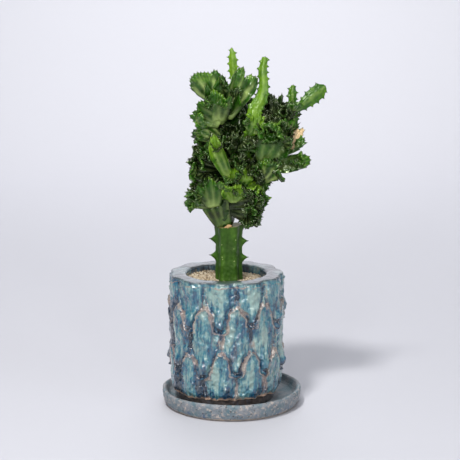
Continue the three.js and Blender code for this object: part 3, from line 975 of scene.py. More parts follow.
TRUNK_FAN = Fan("crest_trunk", (-8, -1, 201), -16, 10, 0, 44, 64, 8.5, 3, 2.5, Tone.DEEP)
FANS = (
    Fan("fan_crown_left", (-16, -9, 316), 12, 10, -4, 50, 64, 6, 3, 4.5, Tone.GREEN, buds=3),
    Fan("fan_crown_pale", (-6, -13, 323), 24, 8, -14, 56, 42, 6, 2, 2.4, Tone.PALE),
    Fan("fan_brow", (-14, -15, 321), -3, 26, 4, 33, 88, 8, 3, 4.5, Tone.GREEN, buds=2),
    Fan("fan_top_left", (-17, -10, 342), -30, 17, 14, 36, 84, 6, 2, 3.5, Tone.PALE),
    Fan("fan_left_upper", (-12, -14, 318), -58, 18, 0, 34, 74, 6, 3, 3.5, Tone.GREEN, buds=2),
    Fan("fan_left_fold", (-14, -9, 302), -60, 24, 0, 25, 78, 5, 3, 3, Tone.PALE, buds=1),
    Fan("fan_bright_left", (-1, -15, 256), -23, 20, 10, 52, 26, 5, 1, 4.5, Tone.LIGHT),
    Fan("fan_bright_lobe", (24, -19, 308), 14, 24, -10, 21, 112, 5, 3, 2, Tone.BRIGHT, buds=3),
    Fan("fan_glossy_right", (34, -12, 271), 22, 16, -8, 39, 82, 7, 3, 3.5, Tone.GREEN, buds=2),
    Fan(
        "fan_scarred_right", (50, -5, 284), 48, 8, 10, 35, 62, 6, 3, 3, Tone.GREEN,
        ((67, 300, 3.5), (71, 306, 4.5), (77, 308, 3), (66, 293, 3)), buds=1
    ),
    Fan("fan_paddle_low", (44, -5, 270), 80, 14, 0, 38, 44, 7, 1, 3.5, Tone.GREEN, buds=2),
    Fan("fan_streaked_low", (34, -11, 256), 24, 34, 0, 26, 96, 6, 3, 3, Tone.PALE, buds=5),
    Fan("fan_under_right", (22, -4, 262), 128, 18, 0, 22, 80, 5, 4, 2.5, Tone.DARK, buds=5),
    Fan("fan_centre_small", (8, -12, 248), 6, 34, 0, 25, 92, 5, 5, 2.5, Tone.BRIGHT, buds=3),
    Fan("fan_front_light", (3, -12, 232), 4, 36, 0, 25, 98, 5, 5, 2.5, Tone.BRIGHT, buds=3),
    Fan("fan_left_low", (-20, -9, 226), -8, 26, 0, 31, 84, 7, 3, 4, Tone.GREEN, buds=4),
    Fan("fan_lobe_left", (-18, -5, 229), -80, 14, 0, 32, 46, 6, 2, 3, Tone.GREEN, buds=4),
    Fan("fan_edge_left", (-34, 0, 232), -32, 4, 0, 18, 42, 4, 1, 1.5, Tone.GREEN, buds=2),
    Fan("fan_knot_left", (-25, 2, 234), -38, 30, 0, 23, 110, 6, 7, 3.5, Tone.DARK, buds=7),
    Fan("fan_right_low", (12, -9, 229), 34, 22, 0, 30, 84, 6, 3, 2.5, Tone.BRIGHT, ((22, 241, 4),), buds=4),
    Fan("fan_lobe_right", (12, -7, 230), 86, 16, 0, 27, 46, 6, 3, 2.5, Tone.GREEN, buds=3),
    Fan("fan_bottom", (-2, -8, 224), 84, 30, 0, 38, 84, 7, 5, 4, Tone.DARK, buds=14),
    Fan("fan_ruffle_left", (-12, -2, 268), -62, 30, 0, 34, 112, 7, 8, 4, Tone.DARK, buds=10),
    Fan("fan_ruffle_left_up", (-12, 0, 292), -64, 18, 0, 27, 96, 6, 6, 3.5, Tone.DARK, buds=8),
    Fan("fan_ruffle_centre", (2, -8, 280), -14, 52, 0, 34, 130, 7, 8, 4, Tone.DARK, buds=9),
    Fan("fan_ruffle_low", (10, -8, 262), 26, 50, 0, 30, 110, 7, 7, 3.5, Tone.DARK, buds=8),
    Fan("fan_spiny_right", (46, 2, 298), 2, 16, 0, 46, 80, 7, 5, 4.5, Tone.DARK, buds=16),
    Fan("fan_spiny_front", (42, -4, 292), 4, 34, 0, 38, 104, 7, 5, 3.5, Tone.DARK, buds=14),
    Fan("fan_back_low", (-4, 10, 228), -10, -42, 0, 44, 120, 8, 7, 4, Tone.DARK, buds=7),
    Fan("fan_back_right", (20, 8, 264), 40, -38, 0, 42, 110, 8, 7, 4, Tone.DARK, buds=7),
    Fan("fan_back_middle", (2, 12, 268), -16, -46, 0, 44, 120, 8, 7, 4, Tone.DARK, buds=7),
    Fan("fan_back_high", (6, 8, 300), 6, -28, 0, 52, 100, 8, 6, 4, Tone.DEEP, buds=5),
    Fan("fan_back_left", (-10, 6, 290), -46, -30, 0, 35, 90, 7, 6, 4, Tone.DARK, buds=6),
    Fan("fan_back_top_right", (46, 6, 290), 24, -30, 0, 40, 90, 7, 6, 3.5, Tone.DEEP, buds=5),
)

LIMB_STEPS = 44
LIMB_SIDES = 32
TRUNK_LIMBS = (
    (
        (-7, 2, 202.6, 8.5), (-7, 4, 224, 12), (0, 6, 260, 15), (8, 5, 300, 15), (10, 3, 334, 9),
        (10, 2, 346, 4),
    ),
    ((4, 6, 262, 8), (24, 4, 276, 11), (46, 2, 292, 10), (62, 2, 308, 5.5)),
    ((4, 5, 292, 8), (-8, 2, 314, 9), (-18, 0, 334, 5)),
    ((-4, 4, 232, 8), (-20, 3, 240, 8), (-30, 2, 256, 4.5)),
    ((-4, 4, 226, 7), (10, 2, 230, 7), (20, 0, 236, 4)),
)


def path_points(path: tuple, steps: int) -> Array:
    """Samples a smooth curve through points that carry sizes.

    Args:
        path: Rows of x, y, z and sizes.
        steps: Number of samples.

    Returns:
        One row per sample, with as many numbers as the rows of the path.
    """
    knots = np.array(path, dtype=float)
    padded = np.concatenate([2 * knots[:1] - knots[1:2], knots, 2 * knots[-1:] - knots[-2:-1]])
    t = np.linspace(0, len(knots) - 1 - 1e-6, steps)
    k = t.astype(int)
    s = (t - k)[:, None]
    a, b, c, d = (padded[k + n] for n in range(4))
    curve = 0.5 * (2 * b + (c - a) * s + (2 * a - 5 * b + 4 * c - d) * s**2 + (3 * b - a - 3 * c + d) * s**3)
    curve[:, 3:] = b[:, 3:] + (c[:, 3:] - b[:, 3:]) * s
    return curve


@dataclass
class CrestTrunk:
    """The fan that rises from the graft, the inner limbs, and the small folds that crowd on them."""

    limbs: tuple = TRUNK_LIMBS
    fan: Fan = TRUNK_FAN
    folds: int = 120
    lowest_fold: float = 222.0

    def build(self, skin: bpy.types.Material) -> None:
        """Makes the trunk piece.

        Args:
            skin: The crest's material.
        """
        clay = Clay()
        self.fan.sculpt(clay)
        draw = np.random.default_rng(5)
        roots: list[tuple[Array, float]] = []
        for number, path in enumerate(self.limbs):
            curve = self._limb(clay, path, 40 + number)
            roots += [(row[:3], row[3]) for row in curve[6 : LIMB_STEPS - 2]]
        for _ in range(self.folds):
            middle, radius = roots[draw.integers(len(roots))]
            if middle[2] < self.lowest_fold:
                continue
            side = draw.uniform(0, 2 * math.pi)
            lean = math.degrees(math.atan2(math.cos(side), 0.75))
            toward = -62 * math.sin(side) * (1 - 0.25 * draw.random())
            tone = draw.choice([Tone.DARK, Tone.DARK, Tone.DEEP, Tone.GREEN], p=[0.4, 0.3, 0.2, 0.1])
            outward = np.array([math.cos(side), math.sin(side), 0.3])
            start = middle + outward * radius * 0.55
            small = Fan(
                "crest_trunk", tuple(start), lean, toward, draw.uniform(-30, 30), draw.uniform(11, 17),
                draw.uniform(90, 140), 3.0, int(draw.integers(4, 7)), draw.uniform(1.4, 2.2), tone,
                root=6.0, rim=2.6, saw=1.2,
            )
            small.sculpt(clay, columns=48, rows=10)
        hand_over(clay.piece("crest_trunk_flesh", skin), "crest_skin", "crest_trunk")

    def _limb(self, clay: Clay, path: tuple, seed: int) -> Array:
        """Adds one inner limb.

        Args:
            clay: The piece.
            path: Rows of x, y, z and radius.
            seed: Picks its lumps.

        Returns:
            The samples of the path.
        """
        curve = path_points(path, LIMB_STEPS)
        way = unit(np.gradient(curve[:, :3], axis=0))
        right = unit(np.array([1.0, 0, 0]) - way * way[:, :1])
        ahead = np.cross(way, right)
        angle = round_angles(LIMB_SIDES)[None, :, None]
        spoke = np.cos(angle) * right[:, None] + np.sin(angle) * ahead[:, None]
        rings = curve[:, None, :3] + spoke * curve[:, None, 3:4]
        rings = rings + spoke * (waves(rings, 13.0, seed) * 1.6)[..., None]
        ends = curve[[0, -1], :3] + way[[0, -1]] * np.array([[-1.0], [2.0]])
        clay.tube(rings, ends, bright=0.12)
        return curve


@dataclass
class Crest:
    """All the fans, each in place of its own CAD node."""

    fans: tuple[Fan, ...] = FANS

    def build(self, skin: bpy.types.Material) -> None:
        """Makes one piece per fan.

        Args:
            skin: The crest's material.
        """
        for fan in self.fans:
            clay = Clay()
            step = 0.5 if fan.tone is Tone.DARK else 0.62
            fan.sculpt(clay, columns=int(max(110, fan.rim_length() / step)))
            hand_over(clay.piece(fan.node + "_flesh", skin), "crest_skin", fan.node)


@dataclass(frozen=True)
class Shoot:
    """A plain ribbed shoot: points along it carry half its width and half its thickness."""

    node: str
    ribs: tuple[float, ...]
    path: tuple
    bright: float
    pale: float
    pitch: float = 7.4
    reach: float = 2.3

    def build(self, skin: bpy.types.Material) -> None:
        """Makes the shoot's piece.

        Args:
            skin: The crest's material.
        """
        clay = Clay()
        knots = np.array(self.path, dtype=float)
        length = np.linalg.norm(np.diff(knots[:, :3], axis=0), axis=1).sum()
        rows, sides = int(length / 0.7), 60
        curve = path_points(self.path, rows)
        way = unit(np.gradient(curve[:, :3], axis=0))
        front = unit(np.array([0.0, -1.0, 0.0]) + way * way[:, 1:2])
        right = np.cross(way, front) * -1
        right = right * np.sign(right[:, :1] + 1e-9)
        far = np.concatenate([[0], np.cumsum(np.linalg.norm(np.diff(curve[:, :3], axis=0), axis=1))])
        angle = round_angles(sides)
        out = np.full((rows, sides), 0.6)
        tooth_rows: list[tuple[int, float]] = []
        for number, rib in enumerate(self.ribs):
            gap = angle_gap(angle, rib)
            crest = hump(gap, 0.34)
            phase = (far / self.pitch + 0.5 * number) % 1.0
            pulse = np.clip(1 - np.abs(phase - 0.5) * 3.6, 0, 1) ** 1.4
            pulse = pulse * smooth(0.0, 6.0, far) * smooth(far[-1], far[-1] - 1.5, far)
            size = self.reach / np.maximum(curve[:, 3], 2.5)
            out = np.maximum(out, 0.6 + crest[None, :] * (0.32 + pulse * size)[:, None])
            peaks = np.where((phase[:-1] < 0.5) & (phase[1:] >= 0.5))[0]
            tooth_rows += [(int(k), rib) for k in peaks if far[k] > 6.0]
        ring = curve[:, None, :3] + out[..., None] * (
            np.cos(angle)[None, :, None] * right[:, None] * curve[:, 3][:, None, None]
            + np.sin(angle)[None, :, None] * front[:, None] * curve[:, 4][:, None, None]
        )
        ring = ring + (waves(ring, 12.0, 70)[..., None] * 0.25) * unit(ring - curve[:, None, :3])
        face = hump(angle - math.pi / 2, 0.5)[None, :]
        back_face = 0.6 * hump(angle - 1.5 * math.pi, 0.5)[None, :]
        broken = 0.55 + 0.45 * waves(ring, 7.0, 71)
        pale = self.pale * (face + back_face) * broken
        bright = self.bright + 0.12 * waves(ring, 16.0, 72) - 0.22 * np.clip(out - 0.85, 0, 0.3)
        ends = curve[[0, -1], :3] + way[[0, -1]] * np.array([[-0.8], [0.8]])
        joined = [np.append(values.ravel(), [0.3, 0.3]) for values in (pale, bright)]
        clay.tube(ring, ends, pale=joined[0], bright=joined[1])
        for k, rib in tooth_rows:
            column = int(round(math.radians(rib) / (2 * math.pi) * sides)) % sides
            root = ring[k, column]
            outward = unit(root - curve[k, :3]) + way[k] * 0.25
            spikes(clay, root[None] - outward * 0.4, outward[None], np.array([1.7]), 0.5, spine=1.0)
        crown = np.array([[0.5, 0, 1], [-0.6, 0.2, 1], [0.1, -0.6, 1]])
        tip = np.repeat(curve[-1:, :3], 3, axis=0)
        spikes(clay, tip, crown, np.array([1.8, 1.6, 1.5]), 0.5, spine=1.0)
        hand_over(clay.piece(self.node + "_flesh", skin), "shoot_skin", self.node)


SHOOTS = (
    Shoot(
        "shoot_tall", (0, 180, 270),
        (
            (20, -8, 274, 4, 4), (16, -16, 287, 4, 3.6), (16, -20, 299, 4.4, 3.6), (21, -23, 311, 6.8, 4),
            (24, -24, 323, 8.6, 4.6), (25.5, -23, 334, 8.2, 4.6), (32, -20, 346, 7.4, 4.4),
            (34.5, -17, 360, 5.4, 4.2), (33.5, -15, 375, 5.2, 4.2), (36, -14, 389, 3.2, 2.4),
        ),
        0.68, 0.28,
    ),
    Shoot(
        "shoot_thin", (0, 180, 270),
        (
            (7, -4, 338, 4, 4), (5, -5, 356, 5, 4), (2, -5, 374, 5, 4), (1, -5, 388, 4.4, 3.6),
            (0, -5, 398, 1.4, 1.4),
        ),
        0.84, 0.5,
    ),
    Shoot(
        "shoot_right", (0, 180, 270),
        (
            (66, 0, 303, 4, 3.6), (68.5, -2, 316, 4.2, 3.6), (66.5, -3, 334, 4.6, 4),
            (66, -3, 350, 5, 3.6), (67, -3, 358, 2.4, 2),
        ),
        0.54, 0.4,
    ),
    Shoot(
        "shoot_paddle", (0, 180),
        (
            (68, -3, 331, 4, 3), (77, -4, 337, 6, 3.2), (88, -5, 346, 9, 3.4), (96, -5, 353, 8.5, 3),
            (101.5, -5, 357, 3, 1.6),
        ),
        0.54, 0.4,
    ),
)


# Rootstock ----------------------------------------------------------------------------------------------


@dataclass
class Rootstock:
    """The thick ribbed stem that the crest is grafted on."""

    ribs: int = 6
    rows: int = 170
    sides: int = 168
    tooth_reach: float = 6.6
    tooth_pitch: float = 18.5
    tooth_drops: tuple = ((0, 17.5), (180, 15.0))  # each side, and how far its upper tooth is under the top
    wart_sides: tuple[int, ...] = (60, 120, 240, 300)
    wart_pitch: float = 16.5
    cut: tuple[float, ...] = (0.9, 0.7, 0.45, 0.2)  # rings on the cut top, as shares of its radius
    # The stem's width from its buried end to its cut top, as shares of its height and of its plain width.
    profile: tuple = (
        (0, 0.35), (0.06, 0.72), (0.16, 0.92), (0.3, 1), (0.44, 1.02), (0.5, 1.0), (0.58, 0.98),
        (0.66, 0.95), (0.74, 0.97), (0.82, 0.95), (0.9, 0.98), (0.96, 1.03), (1, 1.06),
    )

    def build(self, skin: bpy.types.Material) -> None:
        """Makes the rootstock with its teeth, leaf scars and graft callus.

        Args:
            skin: The rootstock's material.
        """
        low, high = box_mm("rootstock")
        radius = (high[1] - low[1]) / 2 - 0.8
        top = high[2] - 1.4
        rows, sides = self.rows, self.sides
        share = np.linspace(0, 1, rows)
        wide = np.interp(share, *np.array(self.profile).T)
        z = low[2] + share * (top - low[2])
        angle = round_angles(sides)
        rib = np.abs(np.cos(angle * self.ribs / 2)) ** 1.6
        teeth = [
            (way, top - drop - pair * self.tooth_pitch) for way, drop in self.tooth_drops for pair in (0, 1)
        ]
        r = (radius - 1.3 + 2.2 * rib[None, :]) * wide[:, None]
        r = self._bumps(r, angle, z, teeth)
        corner = hump(np.minimum(angle, 2 * math.pi - angle), 0.3)[None, :]
        r = r + 3.6 * corner * smooth(0.93, 1.0, share)[:, None] ** 2
        slant = 1.5 * np.cos(angle)[None, :] * smooth(0.93, 1.0, share)[:, None]
        points = stacked(STOCK_X + r * np.cos(angle), r * np.sin(angle), z[:, None] + slant)
        outward = unit(points * [1, 1, 0] - [STOCK_X, 0, 0])
        points = points + (waves(points, 14.0, 90) * 0.35)[..., None] * outward
        hub = np.array([STOCK_X, 0.0, top - 0.6])
        caps = [hub + (points[-1] - hub) * s + [0, 0, -0.5 * (1 - s)] for s in self.cut]
        grown = np.concatenate([points.reshape(-1, 3), *caps, hub[None]])
        total = rows + len(self.cut)
        index = np.arange(total * sides).reshape(total, sides)
        bright = 0.42 + 0.2 * rib[None, :] + 0.14 * waves(points, 30.0, 91)
        graft = hump(angle - 1.25 * math.pi, 0.5)[None, :] * smooth(0.86, 0.99, share)[:, None]
        on_top = np.ones(len(self.cut) * sides + 1)
        joined = np.concatenate([(bright - 0.25 * graft).ravel(), 0.5 * on_top])
        cork = np.concatenate([np.zeros(rows * sides), 0.35 * on_top])
        clay = Clay()
        clay.add(grown, grid_faces(index, True), bright=joined, cork=cork)
        last = (total - 1) * sides
        turn = (np.arange(sides) + 1) % sides
        clay.faces(stacked(last + np.arange(sides), last + turn, np.array(total * sides)))
        for way, height in teeth:
            out = 1.0 if way == 0 else -1.0
            root = np.array([[STOCK_X + out * (radius + self.tooth_reach + 0.4), 0, height]])
            way_out = np.array([[out, 0, 0.12]])
            spikes(clay, root - [out * 0.8, 0, 0], way_out, np.array([2.2]), 0.7, spine=1.0)
        self._scars(clay, radius, top)
        hand_over(clay.piece("rootstock_stem", skin), "rootstock_skin", "rootstock")

    def _bumps(self, r: Array, angle: Array, z: Array, teeth: list[tuple[int, float]]) -> Array:
        """Adds the teeth and the small warts of the front and back ribs to the stem's radius.

        Args:
            r: Radius at each point, one row per ring.
            angle: Direction of each column in radians.
            z: Height of each ring.
            teeth: Direction in degrees and height of each tooth.

        Returns:
            The radius with them.
        """
        for way, height in teeth:
            over = (z - height)[:, None]
            shape = np.clip(1 - np.abs(over) / np.where(over > 0, 5.2, 7.0), 0, 1) ** 1.5
            r = r + self.tooth_reach * shape * hump(angle_gap(angle, way), 0.17)[None, :]
        for way in self.wart_sides:
            across = hump(angle_gap(angle, way), 0.16)[None, :]
            for height in np.arange(z[-1] - 10, z[0] + 40, -self.wart_pitch):
                r = r + 0.9 * hump(z - height, 3.0)[:, None] * across
        return r

    def _scars(self, clay: Clay, radius: float, top: float) -> None:
        """Adds pale leaf scars on the front ribs and the corky callus under the graft.

        Args:
            clay: The piece.
            radius: Radius of the stem.
            top: Height of its cut top.
        """
        draw = np.random.default_rng(12)
        for way, heights in ((241, (1.5, 19.5, 33.5, 36.0)), (297, (14.0, 24.0, 38.0))):
            for down in heights:
                a = math.radians(way + draw.uniform(-4, 4))
                out = radius + 0.1
                at = np.array([[STOCK_X + out * math.cos(a), out * math.sin(a), top - down]])
                beads(clay, at, np.array([draw.uniform(0.7, 1.05)]), dot=1.0)
        rows, sides = 22, 30
        polar = np.linspace(0, math.pi, rows)[:, None]
        around = round_angles(sides)[None, :]
        ball = stacked(np.sin(polar) * np.cos(around), np.sin(polar) * np.sin(around), np.cos(polar))
        lump = ball * [4.3, 2.6, 2.0]
        lump = lump @ np.array([[0.95, 0, 0.31], [0, 1, 0], [-0.31, 0, 0.95]]) + [-3.6, -11.6, top + 0.6]
        lump = lump + ball * (waves(lump, 4.0, 93) * 0.5)[..., None]
        clay.add(lump, grid_faces(np.arange(rows * sides).reshape(rows, sides), True), cork=1.0, bright=0.4)


# Pot, saucer and filling --------------------------------------------------------------------------------


def ring_piece(
    clay: Clay, radii: Array, heights: Array, middle: Array | tuple[float, float], joined: bool,
    **values: Array
) -> None:
    """Adds a body of rings round an upright axis.

    Args:
        clay: The piece.
        radii: Radius of each point, one row per ring, at angles from the front that grow to the right.
        heights: Height of each point.
        middle: Where the axis stands.
        joined: Whether the last ring joins the first; otherwise a flat face closes each of them.
        **values: Per-point values, shaped like the radii.
    """
    rows, sides = radii.shape
    points = round_axis(radii, heights) + [*middle, 0.0]
    index = np.arange(rows * sides).reshape(rows, sides)
    if joined:
        clay.add(points, grid_faces(np.concatenate([index, index[:1]]), True), **values)
    else:
        clay.add(points, grid_faces(index, True), **values)
        clay.faces(index[:1, ::-1])
        clay.faces(index[-1:])


@dataclass
class Pot:
    """The heavy pot with three staggered rows of overlapping scales cut in its wall."""

    around: int = 11  # scales in a row
    drawn_around: int = 12  # scales in a row for which the outlines are drawn
    girth: float = 66.0  # radius on which the carving is worked out
    tall: float = 130.0  # wall height on which the carving is worked out
    front_turn: float = -6.5  # degrees from the front to the nearest scale of the top row
    first_tip: float = 0.37  # share of the wall's height above the tips of the top row
    row_pitch: float = 0.4
    relief: float = 6.6
    hand: float = 70.0  # radius on which the hand's unevenness is worked out
    rows: int = 220
    sides: int = 540
    rim_shares: tuple[float, ...] = (0.04, 0.12, 0.3, 0.5, 0.7, 0.86, 0.95, 1.0)  # rings across the rim's top
    inset: float = 6.8  # how far inside the CAD node's box the wall under the scales stands
    wall: float = 15.0
    skirt: float = 11.5
    foot: tuple[float, float, float] = (54.0, 44.0, 10.0)  # outer radius, inner radius and height
    drain: float = 8.0
    floor: float = 6.0
    # A scale's outline, then that of the hollow between two scales: height above the tip, half-width there.
    tongue: tuple = (
        (-3.6, -2), (-3, 0), (-1.5, 3), (1, 4.6), (5, 5.2), (10, 6.2), (14, 7.7), (18.5, 9.8), (23, 12.3),
        (28, 14.2), (34, 15.2), (45, 15.8), (60, 16.1),
    )
    arch: tuple = (
        (-5, 0), (-4.4, 3.5), (-2, 6), (1, 7.1), (5, 7.7), (10, 8.7), (14, 9.9), (18, 11.5), (20.5, 13.2),
        (22, 15), (22.8, 16.6), (23.3, 18), (26, 40),
    )

    def _inside(self, outline: tuple, up: Array, reach: Array) -> Array:
        """How far inside an outline points lie, in mm.

        Args:
            outline: Pairs of a height above the tip and the half-width there.
            up: Height of each point above the tip.
            reach: Distance of each point from the middle line.

        Returns:
            The distance, negative outside.
        """
        heights, halves = zip(*outline)
        half = np.interp(up, heights, halves)
        slope = np.interp(up + 0.7, heights, halves) - np.interp(up - 0.7, heights, halves)
        return (half - reach) / np.sqrt(1 + (slope / 1.4) ** 2)

    def scales(self, angle: Array, down: Array) -> dict[str, Array]:
        """Works out the carved wall.

        Args:
            angle: Degrees from the front.
            down: Share of the way down the wall.

        Returns:
            How far each point stands out, and the glaze values for beige edges with a painted highlight, for
            pooling with painted shade, and for lift.
        """
        draw = np.random.default_rng(21)
        angle, down = np.broadcast_arrays(angle, down)
        way = np.radians(angle)
        place = stacked(self.girth * np.sin(way), -self.girth * np.cos(way), self.tall * (1 - down))
        angle = angle + 1.9 * waves(place, 26.0, 61) + 0.7 * waves(place, 9.0, 62)
        depth = self.tall * down + 2.6 * waves(place, 30.0, 63) + 0.8 * waves(place, 8.0, 64)
        carved = {key: np.zeros(angle.shape) for key in ("out", "edge", "pool", "lift")}
        for row in (3, 2, 1, 0):
            carved = self._lay_row(row, draw, angle, depth, carved)
        return self._finish_wall(carved, place, angle, depth)

    def _lay_row(
        self, row: int, draw: np.random.Generator, angle: Array, depth: Array, below_it: dict[str, Array]
    ) -> dict[str, Array]:
        """Lays one row of scales over the rows below it.

        Args:
            row: The row's number, 0 at the rim.
            draw: Source of irregularity.
            angle: Degrees from the front.
            depth: Distance under the rim in mm.
            below_it: The wall as it is so far.

        Returns:
            The wall with the row on it.
        """
        out, edge, pool, lift = below_it.values()
        pitch = 360 / self.around
        arc = math.radians(pitch) * self.girth
        shift, drop = draw.uniform(-1.6, 1.6, self.around), draw.uniform(-3.0, 3.0, self.around)
        stand, cup = draw.uniform(0.8, 1.2, self.around), draw.uniform(0.6, 1.0, self.around)
        seam = draw.uniform(0.0, 1.0, self.around)
        turns = (angle - self.front_turn) / pitch + (row % 2) / 2
        which = np.round(turns).astype(int) % self.around
        side = (turns - np.round(turns)) * arc
        side = side + shift[which] * (1 - (2 * side / arc) ** 2)
        up = self.tall * (self.first_tip + 0.02 + row * self.row_pitch) + drop[which] - depth
        reach = np.abs(side) * self.around / self.drawn_around
        inset = self._inside(self.tongue, up, reach)
        half = np.interp(up, *zip(*self.tongue))
        hides = smooth(-0.6, 1.2, inset)
        body = self.relief * stand[which] * (0.6 + 0.4 * smooth(46.0, 2.0, up) ** 1.15)
        bulge = 1 - 0.42 * np.clip(side / np.maximum(half, 3), -1, 1) ** 2
        bulge = bulge + 0.24 * hump(up - 11, 6.0) - 0.22 * hump(up - 28, 9.0)
        pit = np.exp(-(np.hypot(side / 3.7, (up - 3.4) / 2.7) ** 4)) * cup[which]
        mine = body * bulge * (0.5 + 0.5 * smooth(0.0, 3.4, inset)) - 4.4 * pit
        off = self._inside(self.arch, up, reach)
        bead = hump(off, 1.35) * (1 - hides) * smooth(-4.5, -1.0, up)
        lip = hump(up + 1.6, 1.5) * hump(side, 4.6) * (1 - hides)
        between = smooth(0.0, 2.0, off) * (1 - hides) * smooth(8.0, 20.0, up)
        groove = hump(inset + 0.5, 0.8)
        below = hump(side, 3.2) * smooth(-3.4, -5.0, up) * smooth(-26.0, -6.0, up)
        strip = 0.25 + 0.75 * seam[(np.floor(turns).astype(int)) % self.around]
        out = out * (1 - hides) * (1 - between) + mine * hides + between * self.relief * (0.1 + 0.42 * strip)
        out = out + 1.5 * bead + 2.6 * lip - 2.0 * groove - 0.8 * below
        shoulder = hump(inset - 1.4, 1.3) * (0.25 + 0.75 * (side < 0)) * smooth(3.0, 8.0, up)
        stain = hump(off, 2.3) * (1 - hides) * smooth(-4.5, -1.0, up)
        edge = (
            edge * (1 - hides) * (1 - between) + 0.9 * stain + 0.8 * lip + 0.6 * shoulder
            + 0.7 * between * strip
        )
        # Darker on the lower part of each scale where the glaze pools, and painted shade on each scale's
        # right side.
        shade = 0.42 * smooth(26.0, 4.0, up) + 0.42 * smooth(2.0, 10.0, side) * smooth(0.0, 30.0, up)
        pool = pool * (1 - hides) * (1 - between) + hides * (shade + 1.3 * pit) + between * (1 - strip)
        # Dark in the groove along each scale's edge: pooled glaze and a painted shadow, stronger on the right
        # side.
        pool = pool + 1.1 * groove * (0.55 + 0.45 * (side > 0))
        # Dark under each tip: pooled glaze and a painted shadow.
        pool = pool + 0.75 * below
        lift = lift * (1 - hides) + hides * smooth(14.0, 40.0, up) * (1 - reach / arc)
        return {"out": out, "edge": edge, "pool": pool, "lift": lift}

    def _finish_wall(
        self, carved: dict[str, Array], place: Array, angle: Array, depth: Array
    ) -> dict[str, Array]:
        """Adds the hand's unevenness, the scalloped rim, where the glaze gathers, painted shade on the pot's
        left side and a painted highlight along the top row's upper edge.

        Args:
            carved: The wall with its rows of scales.
            place: Points of the plain wall.
            angle: Degrees from the front.
            depth: Distance under the rim in mm.

        Returns:
            The finished wall.
        """
        out, edge, pool, lift = carved.values()
        out = out + 0.55 * waves(place, 6.5, 65) + 1.0 * waves(place, 19.0, 66)
        bay = np.cos(2 * math.pi * (angle - self.front_turn) / (360 / self.around)) * smooth(34.0, 2.0, depth)
        out = out + 1.5 * bay
        ledge = smooth(4.6, 3.4, depth)
        out = out * (1 - 0.4 * ledge) + 0.5 * ledge
        # A beige line along the upper edge of the top row: glaze breaking on the edge and a painted
        # highlight.
        crisp = hump(depth - 5.4, 1.0) * (lift > 0.12)
        edge = np.maximum(edge * (1 - ledge), 0.85 * crisp)
        pool = pool * (1 - ledge) + 0.35 * ledge + 0.3 * smooth(104.0, 126.0, depth)
        # Painted shade makes the pot's left side darker; the glaze is lighter near the top.
        pool = pool + 0.38 * smooth(-30.0, -70.0, angle) - 0.14 * smooth(50.0, 8.0, depth)
        return {"out": out, "edge": np.clip(edge, 0, 1.2), "pool": np.clip(pool, 0, 1.4), "lift": lift}

    def build(self, glaze: bpy.types.Material) -> None:
        """Makes the pot.

        Args:
            glaze: The pot's material.
        """
        low, high = box_mm("pot")
        middle = (low[:2] + high[:2]) / 2
        base, top = low[2], high[2]
        outer = (high[0] - low[0]) / 2 - self.inset
        sides = self.sides
        angle = np.linspace(0, 360, sides, endpoint=False)[None, :]
        signed = (angle + 180) % 360 - 180
        wall_height = top - base - self.skirt
        down = np.linspace(1.0, 0.0, self.rows)[:, None]
        carved = self.scales(signed, down)
        way = np.radians(angle)
        place = stacked(self.hand * np.sin(way), -self.hand * np.cos(way), wall_height * (1 - down))
        hand = waves(place, 60.0, 23) * 0.7 + waves(place, 16.0, 24) * 0.3
        tuck = 2.6 * smooth(0.93, 1.0, down) ** 2
        round_top = 1.6 * smooth(0.012, 0.0, down) ** 2
        wall = outer + carved["out"] + hand - tuck - round_top
        wave_low = 1.3 * waves(place[:1], 22.0, 25)
        height = base + self.skirt + wall_height * (1 - down) + wave_low * smooth(0.9, 1.0, down)
        rim_wave = 0.5 * waves(place[-1:], 70.0, 26)
        height = height + rim_wave * smooth(0.12, 0.0, down)
        bore = outer - self.wall
        wall_top = wall[-1:]
        rings: list[tuple[Array, Array | float, dict[str, Array | float]]] = []
        foot_out, foot_in, foot_high = self.foot
        for r, z in ((foot_in, 0.0), (foot_out, 0.0), (foot_out, foot_high), (outer - 4, self.skirt - 1.0)):
            # The foot and the skirt's underside get some bare clay colour and a painted shadow, as they stand
            # in shade under the pot.
            rings.append((np.full((1, sides), r), base + z, {"bare": 0.35, "pool": 1.2}))
        rings.append((wall, height, {
            "edge": carved["edge"], "pool": carved["pool"], "lift": carved["lift"],
            "bare": smooth(0.978, 0.992, down + 0.012 * waves(place, 9.0, 27)),
            "rim": smooth(0.022, 0.004, down),
        }))
        for share in self.rim_shares:
            r = wall_top - 1.2 + (bore - wall_top + 1.2) * share
            dip = 1.4 * smooth(0.9, 1.0, share)
            rings.append((r, top + rim_wave - 0.25 + 0.25 * math.sin(math.pi * share) - dip, {"rim": 1.0}))
        for share in np.linspace(0, 1, 16) ** 1.4:
            r = bore - 0.3 - 5.0 * share + 0.5 * waves(place[-1:], 20.0, 28 + int(share * 9))
            rings.append((r, top - 2.4 - share * (wall_height - 5), {"rim": 0.55, "pool": 0.35}))
        for r, z in ((self.drain, foot_high + self.floor), (self.drain, foot_high), (foot_in, foot_high)):
            rings.append((np.full((1, sides), r), base + z, {"bare": 0.8}))
        radii = np.concatenate([r for r, _, _ in rings])
        heights = np.concatenate([np.broadcast_to(z, r.shape) for r, z, _ in rings])
        values = {
            key: np.concatenate([np.broadcast_to(np.asarray(v.get(key, 0.0)), r.shape) for r, _, v in rings])
            for key in ("edge", "pool", "lift", "bare", "rim")
        }
        clay = Clay()
        ring_piece(clay, radii, heights, middle, True, **values)
        hand_over(clay.piece("pot_body", glaze), "pot_glaze", "pot")


